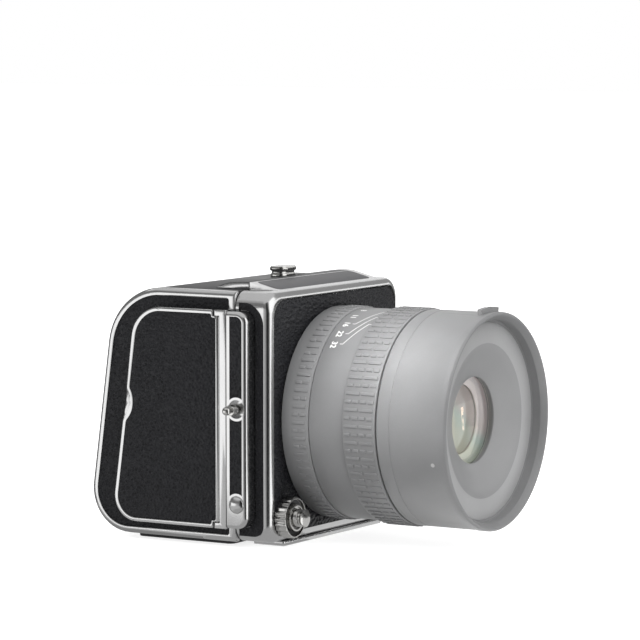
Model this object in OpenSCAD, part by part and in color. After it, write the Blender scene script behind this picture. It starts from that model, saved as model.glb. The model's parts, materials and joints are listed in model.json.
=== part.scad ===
// Medium format digital camera: a slim front body, a digital back and a lens.
// Front view looks along +Y. +Z is up and the lens points along -Y.
// The origin is the mouth of the tripod socket. All sizes are in millimetres.

/* [Casing] */
// Width of the front body and of the back
body_w = 91; // [86:0.5:98]
// Height of both casings above the base plate
body_h = 89; // [86:0.5:95]
// Depth of the front body
front_d = 14; // [13.5:0.5:18]
// Thickness of the base plate and the foot plate
base_t = 2; // [1.6:0.1:3]
// Distance from the front face to the axis of the tripod socket
socket_inset = 8; // [7.8:0.1:8.6]
// Height of the lens axis above the bottom of the casing
axis_h = 43.2; // [42:0.2:45]
// Corner radius of the front body, seen from the front
edge_r = 6; // [4:0.5:8]
// Corner radius of the front leatherette
skin_r = 6.5; // [4:0.5:9]
// Depth of the rounding of the upright front edges
upright_r = 3; // [2:0.5:4]
// Depth of the rounding of the top front edge
brow_r = 3.7; // [3:0.1:5.5]
// Depth of the rounding of the bottom front edge
chin_r = 3; // [2:0.5:4]
// Thickness of the leatherette
skin_t = 0.8; // [0.5:0.1:1.2]
// Width of the bright rim left round the front leatherette
rim_w = 2.9; // [2.5:0.1:4]
// Width of the base plate
base_w = 69; // [62:0.5:74]
// Width of the foot plate under the back
foot_w = 76.8; // [64:0.2:78]
// Length of the foot plate
foot_l = 40.8; // [36:0.2:42]
// Gap of the seam between the front body and the back
seam_gap = 0.3; // [0.2:0.05:0.5]
// Clearance between pieces that are seated in each other
seat_gap = 0.05; // [0.02:0.01:0.1]

/* [Back] */
// Depth of the back along its bottom
back_d = 63.8; // [60:0.2:70]
// Lean of the rear face
lean = 7.63; // [5:0.1:9]
// Rounding of the top rear corner
top_rear_r = 23; // [18:0.5:25]
// Rounding of the bottom rear corner
low_rear_r = 15.5; // [12:0.5:16]
// Wall of the back's shell
shell_wall = 2.5; // [2:0.1:3]
// Width of the edge trim, seen from the side
trim_w = 2.6; // [2.2:0.1:3.4]
// Depth of the edge trim, across the camera
trim_d = 3.5; // [3:0.1:5]
// Rounding of the edge trim
trim_r = 1.6; // [1:0.1:2]
// Width of the fixed band in front of the side flaps
band_w = 2.7; // [2.2:0.1:3.4]
// Half width of the hump on the top
hump_half = 36; // [33:0.5:38]
// Rise of the hump above the top of the casing
hump_rise = 2.6; // [2:0.1:3.2]
// Depth of the part of the hump that lies on the back
hump_tail = 14; // [13:0.5:17]
// Length of the release slider's knob, across the camera
slider_l = 12; // [9:0.5:13]
// Radius of the release slider's knob
slider_r = 3.6; // [3:0.1:4]
// Travel of the release slider
slider_travel = 5; // [3:0.1:6]

/* [Side flaps] */
// Rise of the battery side above the casing
grip_raise = 6; // [5.2:0.1:7]
// Rise of the port side above the casing
port_raise = 5; // [4.8:0.1:6]
// Thickness of a flap, which is also its hinge barrel's diameter
flap_t = 2.4; // [2:0.1:2.6]
// Gap round a flap
flap_gap = 0.3; // [0.25:0.05:0.4]
// Bottom of the flap above the bottom of the casing
flap_low = 5.45; // [5:0.05:7]
// Top of the flap below the top of the casing
flap_high = 6.25; // [6:0.05:8]
// Rear edge of the flap ahead of the rear face
flap_rear = 14; // [12:0.5:17]
// Rounding of the flap's top rear corner
flap_top_r = 12; // [9:0.5:13]
// Rounding of the flap's bottom rear corner
flap_low_r = 9; // [7:0.5:10]
// Bright rim left round the flap's leatherette
flap_rim = 1.5; // [1.2:0.1:2.2]
// Height of the fixed hinge ears at the ends of a flap
ear_h = 2; // [1.6:0.1:3]
// Radius of the flap hinge pin
flap_pin_r = 0.5; // [0.4:0.05:0.6]
// Height of the thumb scoop's middle above the bottom of the casing
scoop_h = 48.5; // [44:0.5:52]
// Width of the thumb scoop at the rear edge of the flap
scoop_w = 3; // [2:0.1:4]

/* [Strap strips] */
// Depth of the raised strip that carries the strap lug
strip_d = 8; // [7.6:0.1:8.4]
// Rounding of the strip's front corners
strip_r = 4.2; // [3:0.1:5]
// Rounding of the strip's outer edge
strip_edge = 1.6; // [1:0.1:2]
// Height of the strap lug above the bottom of the casing
lug_h = 48.1; // [44:0.1:52]
// Radius of the cup round the strap lug
lug_cup_r = 3.3; // [3:0.1:3.5]
// Depth of that cup
lug_cup_d = 3; // [2:0.1:3.4]
// Radius of the lug's collar
lug_r = 1.9; // [1.6:0.1:2.2]
// Reach of the lug's collar beyond the strip
lug_reach = 4.4; // [3.5:0.1:5]
// Radius of the ball on the end of the lug
ball_r = 1.5; // [1.2:0.1:1.6]
// Height of the lens release button above the bottom of the casing
release_h = 14.35; // [13:0.05:17]
// Radius of the lens release button
release_r = 3; // [2.4:0.05:3.1]
// Travel of the lens release button and its lock pin
release_travel = 1.2; // [0.8:0.1:1.4]

/* [Shutter wheel] */
// Direction of the wheel from the lens axis, below the horizontal
wheel_angle = 44; // [42:0.5:46]
// Clearance between the wheel and the lens
wheel_clear = 3.35; // [2.5:0.05:4]
// Radius of the wheel
wheel_r = 7.4; // [6.8:0.05:7.6]
// Thickness of the wheel
wheel_t = 4.4; // [4:0.1:5.2]
// Width of the wheel's rim round its sunk face
wheel_rim = 0.8; // [0.7:0.05:1.2]
// Number of flutes round the wheel
flutes = 22; // [16:1:28]
// Depth of a flute
flute_d = 0.45; // [0.2:0.05:0.6]
// Radius of the fixed collar that the wheel turns on
collar_r = 4.85; // [4.6:0.05:5.2]
// Radius of the shutter button
stem_r = 3.2; // [3:0.05:3.3]
// Reach of the shutter button ahead of the collar
stem_reach = 3.75; // [3.2:0.05:4.2]
// Travel of the shutter button
shutter_travel = 1.2; // [0.8:0.1:1.3]

/* [Lens] */
// Radius of the front barrel
barrel_r = 38.5; // [37.9:0.1:39]
// Step from the front barrel down to the inner barrel that carries the rings
core_step = 3.3; // [3.1:0.1:3.7]
// Wall of the inner barrel
core_wall = 3.2; // [2.5:0.1:4]
// Length of the control ring
control_len = 10.8; // [9:0.1:13]
// Length of the fixed scale band
band_len = 13.7; // [12:0.1:16]
// Step from the front barrel down to the scale band
band_step = 0.6; // [0.5:0.1:0.9]
// Length of the focus ring
focus_len = 13; // [12:0.1:16]
// Step from the front barrel up to the focus ring under its bars
focus_step = 0.2; // [0.1:0.1:0.5]
// Length of the front barrel
nose_len = 27.7; // [26:0.1:31]
// Gap between neighbouring rings
ring_gap = 0.3; // [0.25:0.05:0.4]
// Clearance of a ring on what it turns on
ring_fit = 0.1; // [0.05:0.01:0.15]
// Travel of the focus ring when it is pulled back
clutch_travel = 4; // [2:0.1:4.4]
// Pairs of grip bars round a ring
grip_pairs = 42; // [30:1:48]
// Height of a grip bar
grip_t = 0.4; // [0.2:0.05:0.5]
// Width of a grip bar
grip_w = 1.3; // [0.9:0.05:1.5]
// Length of a short grip bar
short_bar = 2.3; // [1.8:0.1:2.5]
// Gap between short grip bars
bar_gap = 0.7; // [0.5:0.1:1]
// Wall of the front barrel round the filter thread
filter_wall = 2.5; // [2.1:0.1:3]
// Length of the filter thread
filter_len = 3.2; // [2.8:0.1:3.8]
// Depth of the flare in front of the filter thread
flare_d = 2.1; // [1:0.1:2.6]
// Width of the flat lip of the rim
lip_w = 0.5; // [0.3:0.1:1]
// Rise of the front rim above the barrel
rim_rise = 0.2; // [0:0.1:0.4]
// Width of the lug on the top of the front barrel
lug_w = 13; // [8:0.5:15]
// Height of that lug
lug_t = 1.9; // [1:0.1:2.2]
// Length of that lug along the lens
lug_l = 1.7; // [1.2:0.1:3]
// Bevel on the front rim
nose_bevel = 0.6; // [0.4:0.1:1]
// Radius of the flat ring's inner edge, where the funnel starts
funnel_r = 27.5; // [24:0.5:29]
// Depth of the funnel
funnel_d = 4.8; // [4:0.1:6]
// Radius of the clear front glass
glass_r = 15.4; // [14:0.1:15.6]
// Radius of the glass elements in the cell
element_r = 16.1; // [16:0.05:16.4]
// Wall of the tube that holds the glass elements
cell_wall = 3; // [2:0.1:4]
// Number of sides of the iris opening
iris_sides = 9; // [5:1:11]
// Travel of the focusing group to each side
group_travel = 2.5; // [1.5:0.1:3]

/* [Mount] */
// Step from the lens barrel in to the mount ring
mount_step = 1.5; // [1.3:0.1:2]
// Width of the mount ring
mount_w = 3.7; // [3.4:0.1:4]
// Thickness of the lens mount ring
mount_t = 2.5; // [2:0.1:3]
// Step from the mount ring in to the light path
light_step = 2.3; // [1.8:0.1:3.3]
// Radius of the lens lock pin
lock_r = 1.2; // [1:0.05:1.3]

/* [Tripod socket] */
// Wall radius of the tripod thread
socket_r = 3.175; // [3.1:0.005:3.25]
// Depth of the tripod thread
socket_depth = 8; // [6:0.1:8.5]
// Outer radius of the threaded bush
bush_r = 4.8; // [4.2:0.1:4.8]

/* [Display] */
// Width of the tilting display
display_w = 78; // [70:0.5:79]
// Height of the tilting display
display_h = 54; // [50:0.5:55]
// Thickness of the tilting display
display_t = 5; // [4.4:0.1:5.4]
// How far the display stands out of the rear face
display_proud = 1.8; // [1:0.1:2.4]
// Height of the tray's middle above the middle of the rear face
display_up = 6.5; // [5.5:0.1:7]
// Wall and floor of the display tray
tray_wall = 1.5; // [1:0.1:2]
// Radius of the display hinge pin
display_pin_r = 0.8; // [0.6:0.05:1]
// Thickness of the cover glass
cover_t = 0.8; // [0.5:0.1:1.2]

/* [Menu buttons] */
// Number of buttons below the display
button_n = 5; // [5:1:5]
// Spacing of the buttons
button_pitch = 14.5; // [12:0.1:15]
// Width of a button
button_w = 11; // [8:0.1:11.2]
// Height of a button
button_h = 4; // [3:0.1:4.4]
// How far a button stands out of its bar
button_proud = 0.8; // [0.6:0.1:1]
// Travel of a button
button_travel = 0.5; // [0.3:0.1:0.6]
// Height of the bar that holds the buttons
bar_h = 6; // [5.4:0.1:6.2]
// Depth of the bar that holds the buttons
bar_d = 4; // [3.6:0.1:5]

/* [Inside] */
// Width of the sensor's image area
sensor_w = 43.8; // [40:0.1:45]
// Height of the sensor's image area
sensor_h = 32.9; // [30:0.1:34]
// Length of the battery
battery_l = 57; // [50:0.5:58]
// Thickness of the battery
battery_t = 21; // [18:0.5:22]
// Height of the battery
battery_h = 38; // [34:0.5:40]
// Wall of the battery bay
bay_wall = 1.2; // [1:0.1:1.6]
// Length of the memory card
card_l = 38.5; // [36:0.1:39]
// Width of the memory card
card_w = 29.6; // [28:0.1:30]
// Thickness of the memory card
card_t = 3.8; // [3.4:0.1:4]
// Distance from the port cover's front edge to the middle of the sockets
port_inset = 18; // [16:0.5:22]
// Clearance between the circuit board and the battery bay
bay_clear = 3; // [1:0.5:3]
// Thickness of the circuit board
board_t = 1.6; // [1:0.1:2]

/* [Hidden] */
$fn = 64;
right = -1;
left = 1;
half_w = body_w / 2;
z_bot = base_t;
z_top = base_t + body_h;
z_mid = (z_bot + z_top) / 2;
y_front = -socket_inset;
y_seam = y_front + front_d;
y_back = y_seam + seam_gap;
lens_z = z_bot + axis_h;
eps = 0.01;

// Rear face: y of its line at the bottom of the casing
y_rear = y_seam + back_d;
rear_z = z_mid - 2;
rear_y = y_rear - tan(lean) * (rear_z - z_bot);

// Middle of the foot plate
foot_y = y_back + 5.6 + foot_l / 2;

// Side flaps
flap_r = flap_t / 2;
flap_y0 = y_back + band_w + flap_gap;
hinge_y = flap_y0 + flap_r;
flap_z0 = z_bot + flap_low;
flap_z1 = z_top - flap_high;
skin_low = 0.3;
skin_lip = 0.15;
plinth_in = 0.5;

// Strap strips
strip_y0 = y_seam - strip_d;
strip_z0 = flap_z0 + 0.25;
strip_z1 = flap_z1 - 0.35;
strip_mid = (strip_y0 + y_seam) / 2;
strip_rim = 1.7;
lug_z = z_bot + lug_h;
release_z = z_bot + release_h;
release_hole = release_r + 0.1;

// Shutter wheel, measured ahead of the front face
wheel_away = barrel_r + wheel_clear + wheel_r;
wheel_x = wheel_away * cos(wheel_angle);
wheel_z = lens_z - wheel_away * sin(wheel_angle);
wheel_gap = 0.3;
wheel_front = wheel_gap + wheel_t;
collar_sunk = 1.5;
collar_front = wheel_front + 0.6;

// Lens, measured ahead of the front face
core_r = barrel_r - core_step;
band_r = barrel_r - band_step;
focus_r = barrel_r + focus_step;
filter_r = barrel_r - filter_wall;
mount_r = barrel_r - mount_step;
throat_r = mount_r - mount_w;
light_r = throat_r - light_step;
u_control = 0.4;
u_band = u_control + control_len + ring_gap;
u_focus = u_band + band_len + ring_gap;
u_nose = u_focus + focus_len + ring_gap;
u_front = u_nose + nose_len;
u_shelf = u_front - flare_d - filter_len;
bezel_t = 1;
u_glass = u_shelf - funnel_d;
cell_r = element_r + seat_gap + cell_wall;
u_cell0 = 8;
u_cell1 = u_glass - bezel_t - 0.2;
u_iris = u_cell1 - 22;
group_len = 7;
u_group = u_iris - group_travel - group_len - 5;
element_t = 6;
lock_angle = 197;
lock_ring = (throat_r + mount_r) / 2;
lock_proud = 0.8;

// Display and buttons, in the plane of the rear face
tray_half = display_h / 2 + tray_wall + flap_gap;
tray_floor = display_proud - display_t - flap_gap;
pivot_y = display_proud - display_t / 2;
pivot_z = display_up + display_h / 2 - display_t / 2;
bar_z = display_up - tray_half - bar_h / 2;
bay_half_w = display_w / 2 + tray_wall + flap_gap;

// Inside of the back, behind its front plate
plate_t = 2.5;
carrier_y = y_back + plate_t;
glass_t = 1;
chip_t = 1.2;
carrier_t = 4.5;
carrier_rim = 4;
chip_w = sensor_w + 6;
chip_h = sensor_h + 6;
boss_len = 2;
board_y = carrier_y + carrier_t + boss_len;
bay_gap = 0.3;
bay_y = board_y + board_t + bay_clear + bay_wall + battery_t / 2;
bay_z = z_mid + 0.5;
card_z = bay_z - battery_h / 2 - 2 * bay_wall - card_t / 2 - 2 * bay_gap;
card_y = board_y + board_t + 1 + bay_wall + bay_gap + card_w / 2;
port_y = flap_y0 + port_inset;
port_w = 16;
port_h = 52;

// Points of an arc about centre c
function arc(c, r, a0, a1, n = 10) =
    [for (i = [0:n]) let (a = a0 + (a1 - a0) * i / n) c + r * [cos(a), sin(a)]];

// Points of an elliptic arc with the half axes h
function roll(c, h, a0, a1, n = 10) =
    [for (i = [0:n]) let (a = a0 + (a1 - a0) * i / n) c + [h[0] * cos(a), h[1] * sin(a)]];

// Rectangle with round corners, about its middle
function rounded(w, h, r, n = 8) = concat(
    arc([w / 2 - r, h / 2 - r], r, 0, 90, n),
    arc([r - w / 2, h / 2 - r], r, 90, 180, n),
    arc([r - w / 2, r - h / 2], r, 180, 270, n),
    arc([w / 2 - r, r - h / 2], r, 270, 360, n));

// Centre of a rear corner of an outline whose rear line lies at y = back
function corner(back, z, r) = [back - r / cos(lean) - tan(lean) * (z - z_bot), z];

// Side outline with an upright front and a leaning, rounded rear
function leaning(y0, z0, z1, back, rt, rb) = concat([[y0, z0]],
    arc(corner(back, z0 + rb, rb), rb, -90, lean, 14),
    arc(corner(back, z1 - rt, rt), rt, lean, 90, 16),
    [[y0, z1]]);

// Outline of the back, drawn in by d at its rear, top and bottom, and by df at its front
function back_outline(df, d) = leaning(y_back + df, z_bot + d, z_top - d,
    y_rear - d / cos(lean), top_rear_r - d, low_rear_r - d);

// Outline of a side flap, drawn in by d, from y0 on
function flap_outline(y0, d) = leaning(y0, flap_z0 + d, flap_z1 - d,
    y_rear - (flap_rear + d) / cos(lean), flap_top_r - d, flap_low_r - d);

// Outline of a strap strip, let out by d, and by dr at the seam
function strip_outline(d, dr) = concat([[y_seam + dr, strip_z0 - d], [y_seam + dr, strip_z1 + d]],
    arc([strip_y0 + strip_r, strip_z1 - strip_r], strip_r + d, 90, 180, 8),
    arc([strip_y0 + strip_r, strip_z0 + strip_r], strip_r + d, 180, 270, 8));

// Toothed outline: n teeth of width w and outer radius r, on a root that lies inside the ring
function comb(n, r, root, w) = [for (i = [0:n - 1]) let (a = 360 * i / n, b = asin(w / 2 / r),
    c = 1.25 * b) each [root * [cos(a - c), sin(a - c)], r * [cos(a - b), sin(a - b)],
    r * [cos(a + b), sin(a + b)], root * [cos(a + c), sin(a + c)]]];

function raise(side) = side == right ? grip_raise : port_raise;
function face(side) = half_w + raise(side);

// Extrudes a (y, z) outline across the camera, from a to b off the middle plane
module across(side, a, b) {
    translate([side < 0 ? -b : a, 0, 0]) rotate([90, 0, 90]) linear_extrude(b - a) children();
}

// Extrudes an (x, z) outline from front to rear
module deep(y0, y1) {
    translate([0, y1, 0]) rotate([90, 0, 0]) linear_extrude(y1 - y0) children();
}

// Cylinder across the camera, from a to b off the middle plane
module rod(side, a, b, y, z, r) {
    translate([side < 0 ? -b : a, y, z]) rotate([0, 90, 0]) cylinder(h = b - a, r = r);
}

// Upright cylinder
module post(x, y, z0, z1, r) {
    translate([x, y, z0]) cylinder(h = z1 - z0, r = r);
}

// Places what is turned about the lens axis, with its height ahead of the front face
module on_lens() {
    translate([0, y_front, lens_z]) rotate([90, 0, 0]) children();
}

// Ring about the lens axis
module ring(r0, r1, u0, u1) {
    on_lens() translate([0, 0, u0]) difference() {
        cylinder(h = u1 - u0, r = r1, $fn = 128);
        translate([0, 0, -1]) cylinder(h = u1 - u0 + 2, r = r0, $fn = 128);
    }
}

// Disc about the lens axis
module disc(r, u0, u1) {
    on_lens() translate([0, 0, u0]) cylinder(h = u1 - u0, r = r, $fn = 128);
}

// Lens element: a disc whose front bulges by sag
module element(r, u0, u1, sag) {
    ball = (r * r + sag * sag) / (2 * sag);
    on_lens() rotate_extrude($fn = 96) polygon(concat([[0, u0], [r, u0]],
        arc([0, u1 - ball], ball, acos(r / ball), 90, 12)));
}

// Places what belongs to the shutter wheel's axis
module on_wheel() {
    translate([-wheel_x, y_front, wheel_z]) rotate([90, 0, 0]) children();
}

// Places what lies in the rear face: x across, y out of the face, z up along it
module on_rear() {
    translate([0, rear_y, rear_z]) rotate([lean, 0, 0]) children();
}

// Places what lies on the slope of the front body's hump
module on_slope() {
    run = y_seam - slope_y0();
    translate([0, slope_y0(), z_top]) rotate([atan2(hump_rise, run), 0, 0]) children();
}
function slope_y0() = y_front + brow_r;
function slope_len() = norm([y_seam - slope_y0(), hump_rise]);

// Front body

// Front body: its edges roll in from their own depth to the rim of the front leatherette
module front_blank() {
    intersection() {
        deep(y_front, y_seam) translate([0, z_mid]) polygon(rounded(body_w, body_h, edge_r));
        translate([0, 0, z_bot]) linear_extrude(body_h) polygon(concat(
            roll([rim_w - half_w, y_front + upright_r], [rim_w, upright_r], 180, 270),
            roll([half_w - rim_w, y_front + upright_r], [rim_w, upright_r], 270, 360),
            [[half_w, y_seam], [-half_w, y_seam]]));
        across(left, -half_w, half_w) polygon(concat(
            [[y_seam, z_bot], [y_seam, z_top]],
            roll([y_front + brow_r, z_top - rim_w], [brow_r, rim_w], 90, 180),
            roll([y_front + chin_r, z_bot + rim_w], [chin_r, rim_w], 180, 270)));
    }
}

// Outline of the front leatherette, in x and z
module front_skin_outline(d = 0) {
    inset = rim_w + skin_lip + d;
    translate([0, z_mid])
        polygon(rounded(body_w - 2 * inset, body_h - 2 * inset, skin_r - d));
}

// Outline of the leatherette on a side of the front body, in y and z
module side_skin_outline(d = 0) {
    y0 = y_front + rim_w - 0.4 + d;
    y1 = y_seam - 1.3 - d;
    z0 = z_bot + rim_w - 0.4 + d;
    z1 = z_top - rim_w - 0.9 - d;
    polygon(concat([[y1, z0], [y1, z1]], arc([y0 + 8, z1 - 8], 8, 90, 180, 8),
        arc([y0 + 4, z0 + 4], 4, 180, 270, 8)));
}

module front_frame() {
    color("silver") difference() {
        union() {
            front_blank();
            across(left, -hump_half, hump_half) polygon([[slope_y0(), z_top - eps],
                [y_seam, z_top - eps], [y_seam, z_top + hump_rise], [slope_y0(), z_top]]);
        }
        deep(y_front - 1, y_front + skin_t) front_skin_outline();
        for (side = [right, left]) across(side, half_w - skin_t, half_w + 1) side_skin_outline();
        for (side = [right, left]) across(side, half_w - skin_t, half_w + 1)
            polygon(strip_outline(seat_gap, seat_gap));
        on_slope() translate([0, name_plate_mid(), -skin_t]) linear_extrude(skin_t + 1)
            polygon(name_plate_outline(0));
        disc(light_r, -front_d - 1, 1);
        disc(mount_r + seat_gap, -mount_t, 1);
        on_wheel() translate([0, 0, -collar_sunk]) cylinder(h = 9, r = collar_r + seat_gap);
        post(0, 0, z_bot - 1, socket_depth + 1, bush_r + seat_gap);
        lock_hole();
        screw_holes();
    }
}

// Name plate: bare, with its margins at the front, the rear and the ends
plate_margin = 0.5;
plate_rear = 0.4;
plate_side = 3.2;
plate_corner = 2.4;
function name_plate_mid() = (slope_len() + plate_margin - plate_rear) / 2;
function name_plate_outline(d) = rounded(2 * (hump_half - plate_side - d),
    slope_len() - plate_margin - plate_rear - 2 * d, plate_corner - d);

// Bore that guides the lens lock pin
module lock_hole() {
    on_lens() rotate([0, 0, lock_angle]) translate([lock_ring, 0, -9])
        cylinder(h = 12, r = lock_r + 0.1);
}

module front_leatherette() {
    color([0.13, 0.13, 0.14]) difference() {
        deep(y_front, y_front + skin_t) front_skin_outline(seat_gap);
        disc(mount_r + seat_gap, -mount_t, 1);
        on_wheel() translate([0, 0, -collar_sunk]) cylinder(h = 9, r = collar_r + seat_gap);
    }
}

module name_plate() {
    color([0.16, 0.16, 0.17]) on_slope() translate([0, name_plate_mid(), -skin_t])
        linear_extrude(skin_t) polygon(name_plate_outline(seat_gap));
}

// Inlay of a strap strip, in y and z, with round bays for the lug and the button
module strip_inlay(d = 0) {
    rim = strip_rim + d;
    difference() {
        polygon(concat([[y_seam - 1.2 - d, strip_z0 + rim], [y_seam - 1.2 - d, strip_z1 - rim]],
            arc([strip_y0 + strip_r, strip_z1 - strip_r], strip_r - rim, 90, 180, 6),
            arc([strip_y0 + strip_r, strip_z0 + strip_r], strip_r - rim, 180, 270, 6)));
        translate([strip_mid, lug_z]) circle(r = lug_cup_r + 0.9 + d);
        translate([strip_mid, release_z]) circle(r = release_r + 1 + d);
        translate([strip_mid - 9, strip_z0 - 1]) square([18, release_z - strip_z0 + 1]);
    }
}

module strap_plate(side) {
    difference() {
        intersection() {
            across(side, half_w - skin_t, face(side)) polygon(strip_outline(0, 0));
            translate([0, 0, z_bot]) linear_extrude(body_h) scale([side, 1]) polygon(concat(
                [[0, strip_y0], [0, y_seam], [face(side), y_seam]],
                arc([face(side) - strip_edge, strip_y0 + strip_edge], strip_edge, 360, 270, 6)));
            deep(y_front, y_seam) scale([side, 1]) polygon(concat([[0, strip_z1], [0, strip_z0]],
                arc([face(side) - strip_edge, strip_z0 + strip_edge], strip_edge, 270, 360, 6),
                arc([face(side) - strip_edge, strip_z1 - strip_edge], strip_edge, 0, 90, 6)));
        }
        across(side, face(side) - skin_t, face(side) + 1) strip_inlay();
        rod(side, face(side) - lug_cup_d, face(side) + 1, strip_mid, lug_z, lug_cup_r);
        if (side == right)
            rod(side, half_w, face(side) + 1, strip_mid, release_z, release_hole);
    }
}

module strap_plates() {
    color("silver") for (side = [right, left]) strap_plate(side);
}

module casing_leatherette() {
    color([0.13, 0.13, 0.14]) for (side = [right, left]) {
        across(side, half_w - skin_t, half_w - 0.1) difference() {
            side_skin_outline(seat_gap);
            polygon(strip_outline(2 * seat_gap, seat_gap));
        }
        across(side, face(side) - skin_t, face(side) - 0.1) strip_inlay(seat_gap);
        across(side, half_w - skin_t - skin_low, half_w - skin_low) difference() {
            polygon(back_outline(band_w + seat_gap, trim_w + seat_gap));
            polygon(flap_outline(y_back, plinth_in - seat_gap));
        }
    }
}

module strap_lug(side) {
    base = face(side) - lug_cup_d;
    tip = face(side) + lug_reach;
    rod(side, base, tip, strip_mid, lug_z, lug_r);
    rod(side, tip - eps, tip + ball_r + 0.6, strip_mid, lug_z, 0.7 * ball_r);
    translate([side * (tip + ball_r + 0.4), strip_mid, lug_z]) sphere(r = ball_r);
}

module strap_lugs() {
    color("gainsboro") for (side = [right, left]) strap_lug(side);
}

module lens_release_button() {
    out = face(right);
    dome = 1.4;
    ball = (release_r * release_r + dome * dome) / (2 * dome);
    color("gainsboro") intersection() {
        rod(right, out - release_travel - 3, out + 0.3 + dome, strip_mid, release_z, release_r);
        translate([ball - out - 0.3 - dome, strip_mid, release_z]) sphere(r = ball + eps, $fn = 96);
    }
}

module lens_mount_ring() {
    color("gainsboro") difference() {
        ring(throat_r, mount_r, -mount_t, 0);
        lock_hole();
        mount_screw_places() translate([0, 0, -9]) cylinder(h = 12, r = 1.1 + seat_gap);
    }
}

module mount_screw_places() {
    on_lens() for (a = [45:90:315]) rotate([0, 0, a]) translate([lock_ring, 0, 0]) children();
}

module lens_lock_pin() {
    color("gainsboro") on_lens() rotate([0, 0, lock_angle])
        translate([lock_ring, 0, -mount_t - 3]) cylinder(h = mount_t + 3 + lock_proud, r = lock_r);
}

module base_plate() {
    color("silver") difference() {
        translate([0, (base_y0() + base_y1()) / 2, 0]) linear_extrude(base_t)
            polygon(rounded(base_w, base_y1() - base_y0(), 1));
        post(0, 0, -1, base_t + 1, bush_r + seat_gap);
        screw_holes();
    }
}
function base_y0() = y_front + 0.8;
function base_y1() = y_seam - 0.2;

module tripod_bush() {
    color("gainsboro") difference() {
        post(0, 0, 0, socket_depth + 1, bush_r);
        post(0, 0, -1, socket_depth, socket_r);
    }
}

// Countersunk screws: places on the base plate and on the foot plate
module screw_places() {
    for (x = [-26, -14, 14, 26]) translate([x, 0, 0]) children();
    for (x = [-28, 28], y = [-1, 1]) translate([x, foot_y + y * (foot_l / 2 - 6), 0]) children();
}

module screw(d) {
    cylinder(h = 1.2 + d, r = 2 + d);
    cylinder(h = base_t + 2 + d, r = 1 + d);
}

module screw_holes() {
    screw_places() translate([0, 0, -eps]) screw(seat_gap);
    mount_screw_places() translate([0, 0, -mount_t - 3]) cylinder(h = 4, r = 0.8 + seat_gap);
}

module case_screws() {
    color("gray") {
        screw_places() screw(0);
        mount_screw_places() {
            translate([0, 0, -mount_t - 2.8]) cylinder(h = mount_t + 2.7, r = 0.8);
            translate([0, 0, -mount_t]) cylinder(h = mount_t - 0.1, r = 1.1);
        }
    }
}

module shutter_collar() {
    dish = 0.8;
    color("gainsboro") on_wheel() difference() {
        translate([0, 0, -collar_sunk]) cylinder(h = collar_sunk + collar_front, r = collar_r);
        translate([0, 0, -collar_sunk - 1]) cylinder(h = 2 * wheel_r, r = stem_r + 0.1);
        translate([0, 0, collar_front - dish]) cylinder(h = wheel_r, r = (collar_r + stem_r) / 2);
    }
}

module control_wheel() {
    n = flutes * 6;
    face_depth = 1.3;
    color("silver") on_wheel() translate([0, 0, wheel_gap]) difference() {
        linear_extrude(wheel_t) polygon([for (i = [0:n - 1]) let (a = 360 * i / n,
            r = wheel_r - flute_d * pow(sin(flutes * a / 2), 2)) r * [cos(a), sin(a)]]);
        translate([0, 0, -1]) cylinder(h = wheel_t + 2, r = collar_r + 0.08);
        translate([0, 0, wheel_t - face_depth]) cylinder(h = wheel_t, r = wheel_r - wheel_rim);
    }
}

// Shutter button: a body that slides in the collar, a neck and a flared head with a dished end
module shutter_button() {
    tip = collar_front + stem_reach;
    neck = 1.4;
    head = 0.95;
    head_r = stem_r + 0.1;
    low = shutter_travel - collar_sunk + 0.2;
    ball = 16;
    color("gainsboro") on_wheel() difference() {
        union() {
            translate([0, 0, low]) cylinder(h = tip - head - neck - low, r = stem_r);
            translate([0, 0, low]) cylinder(h = tip - low - 0.3, r = stem_r - 0.9);
            translate([0, 0, tip - head]) cylinder(h = head / 2, r1 = stem_r - 0.6, r2 = head_r);
            translate([0, 0, tip - head / 2]) cylinder(h = head / 2, r = head_r);
        }
        translate([0, 0, tip + sqrt(ball * ball - pow(stem_r - 0.3, 2))]) sphere(r = ball, $fn = 128);
    }
}

// Back

module back_shell() {
    w = half_w - trim_d;
    color([0.15, 0.15, 0.16]) difference() {
        across(left, -w, w) polygon(back_outline(0, 0));
        across(left, -w - 1, w + 1) polygon(back_outline(-1, shell_wall));
        on_rear() translate([-bay_half_w, -20, bar_z - bar_h / 2])
            cube([2 * bay_half_w, 40, 2 * tray_half + bar_h]);
        screw_holes();
    }
}

module edge_trim(side) {
    w = half_w - trim_d;
    difference() {
        hull() {
            across(side, w, w + eps) polygon(back_outline(0, 0));
            for (a = [0:30:90]) across(side, half_w - trim_r * (1 - sin(a)) - eps,
                half_w - trim_r * (1 - sin(a))) polygon(back_outline(0, trim_r * (1 - cos(a))));
        }
        across(side, w - 1, half_w + 1) polygon(back_outline(band_w, trim_w));
    }
}

module edge_trims() {
    color("silver") for (side = [right, left]) edge_trim(side);
}

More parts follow.
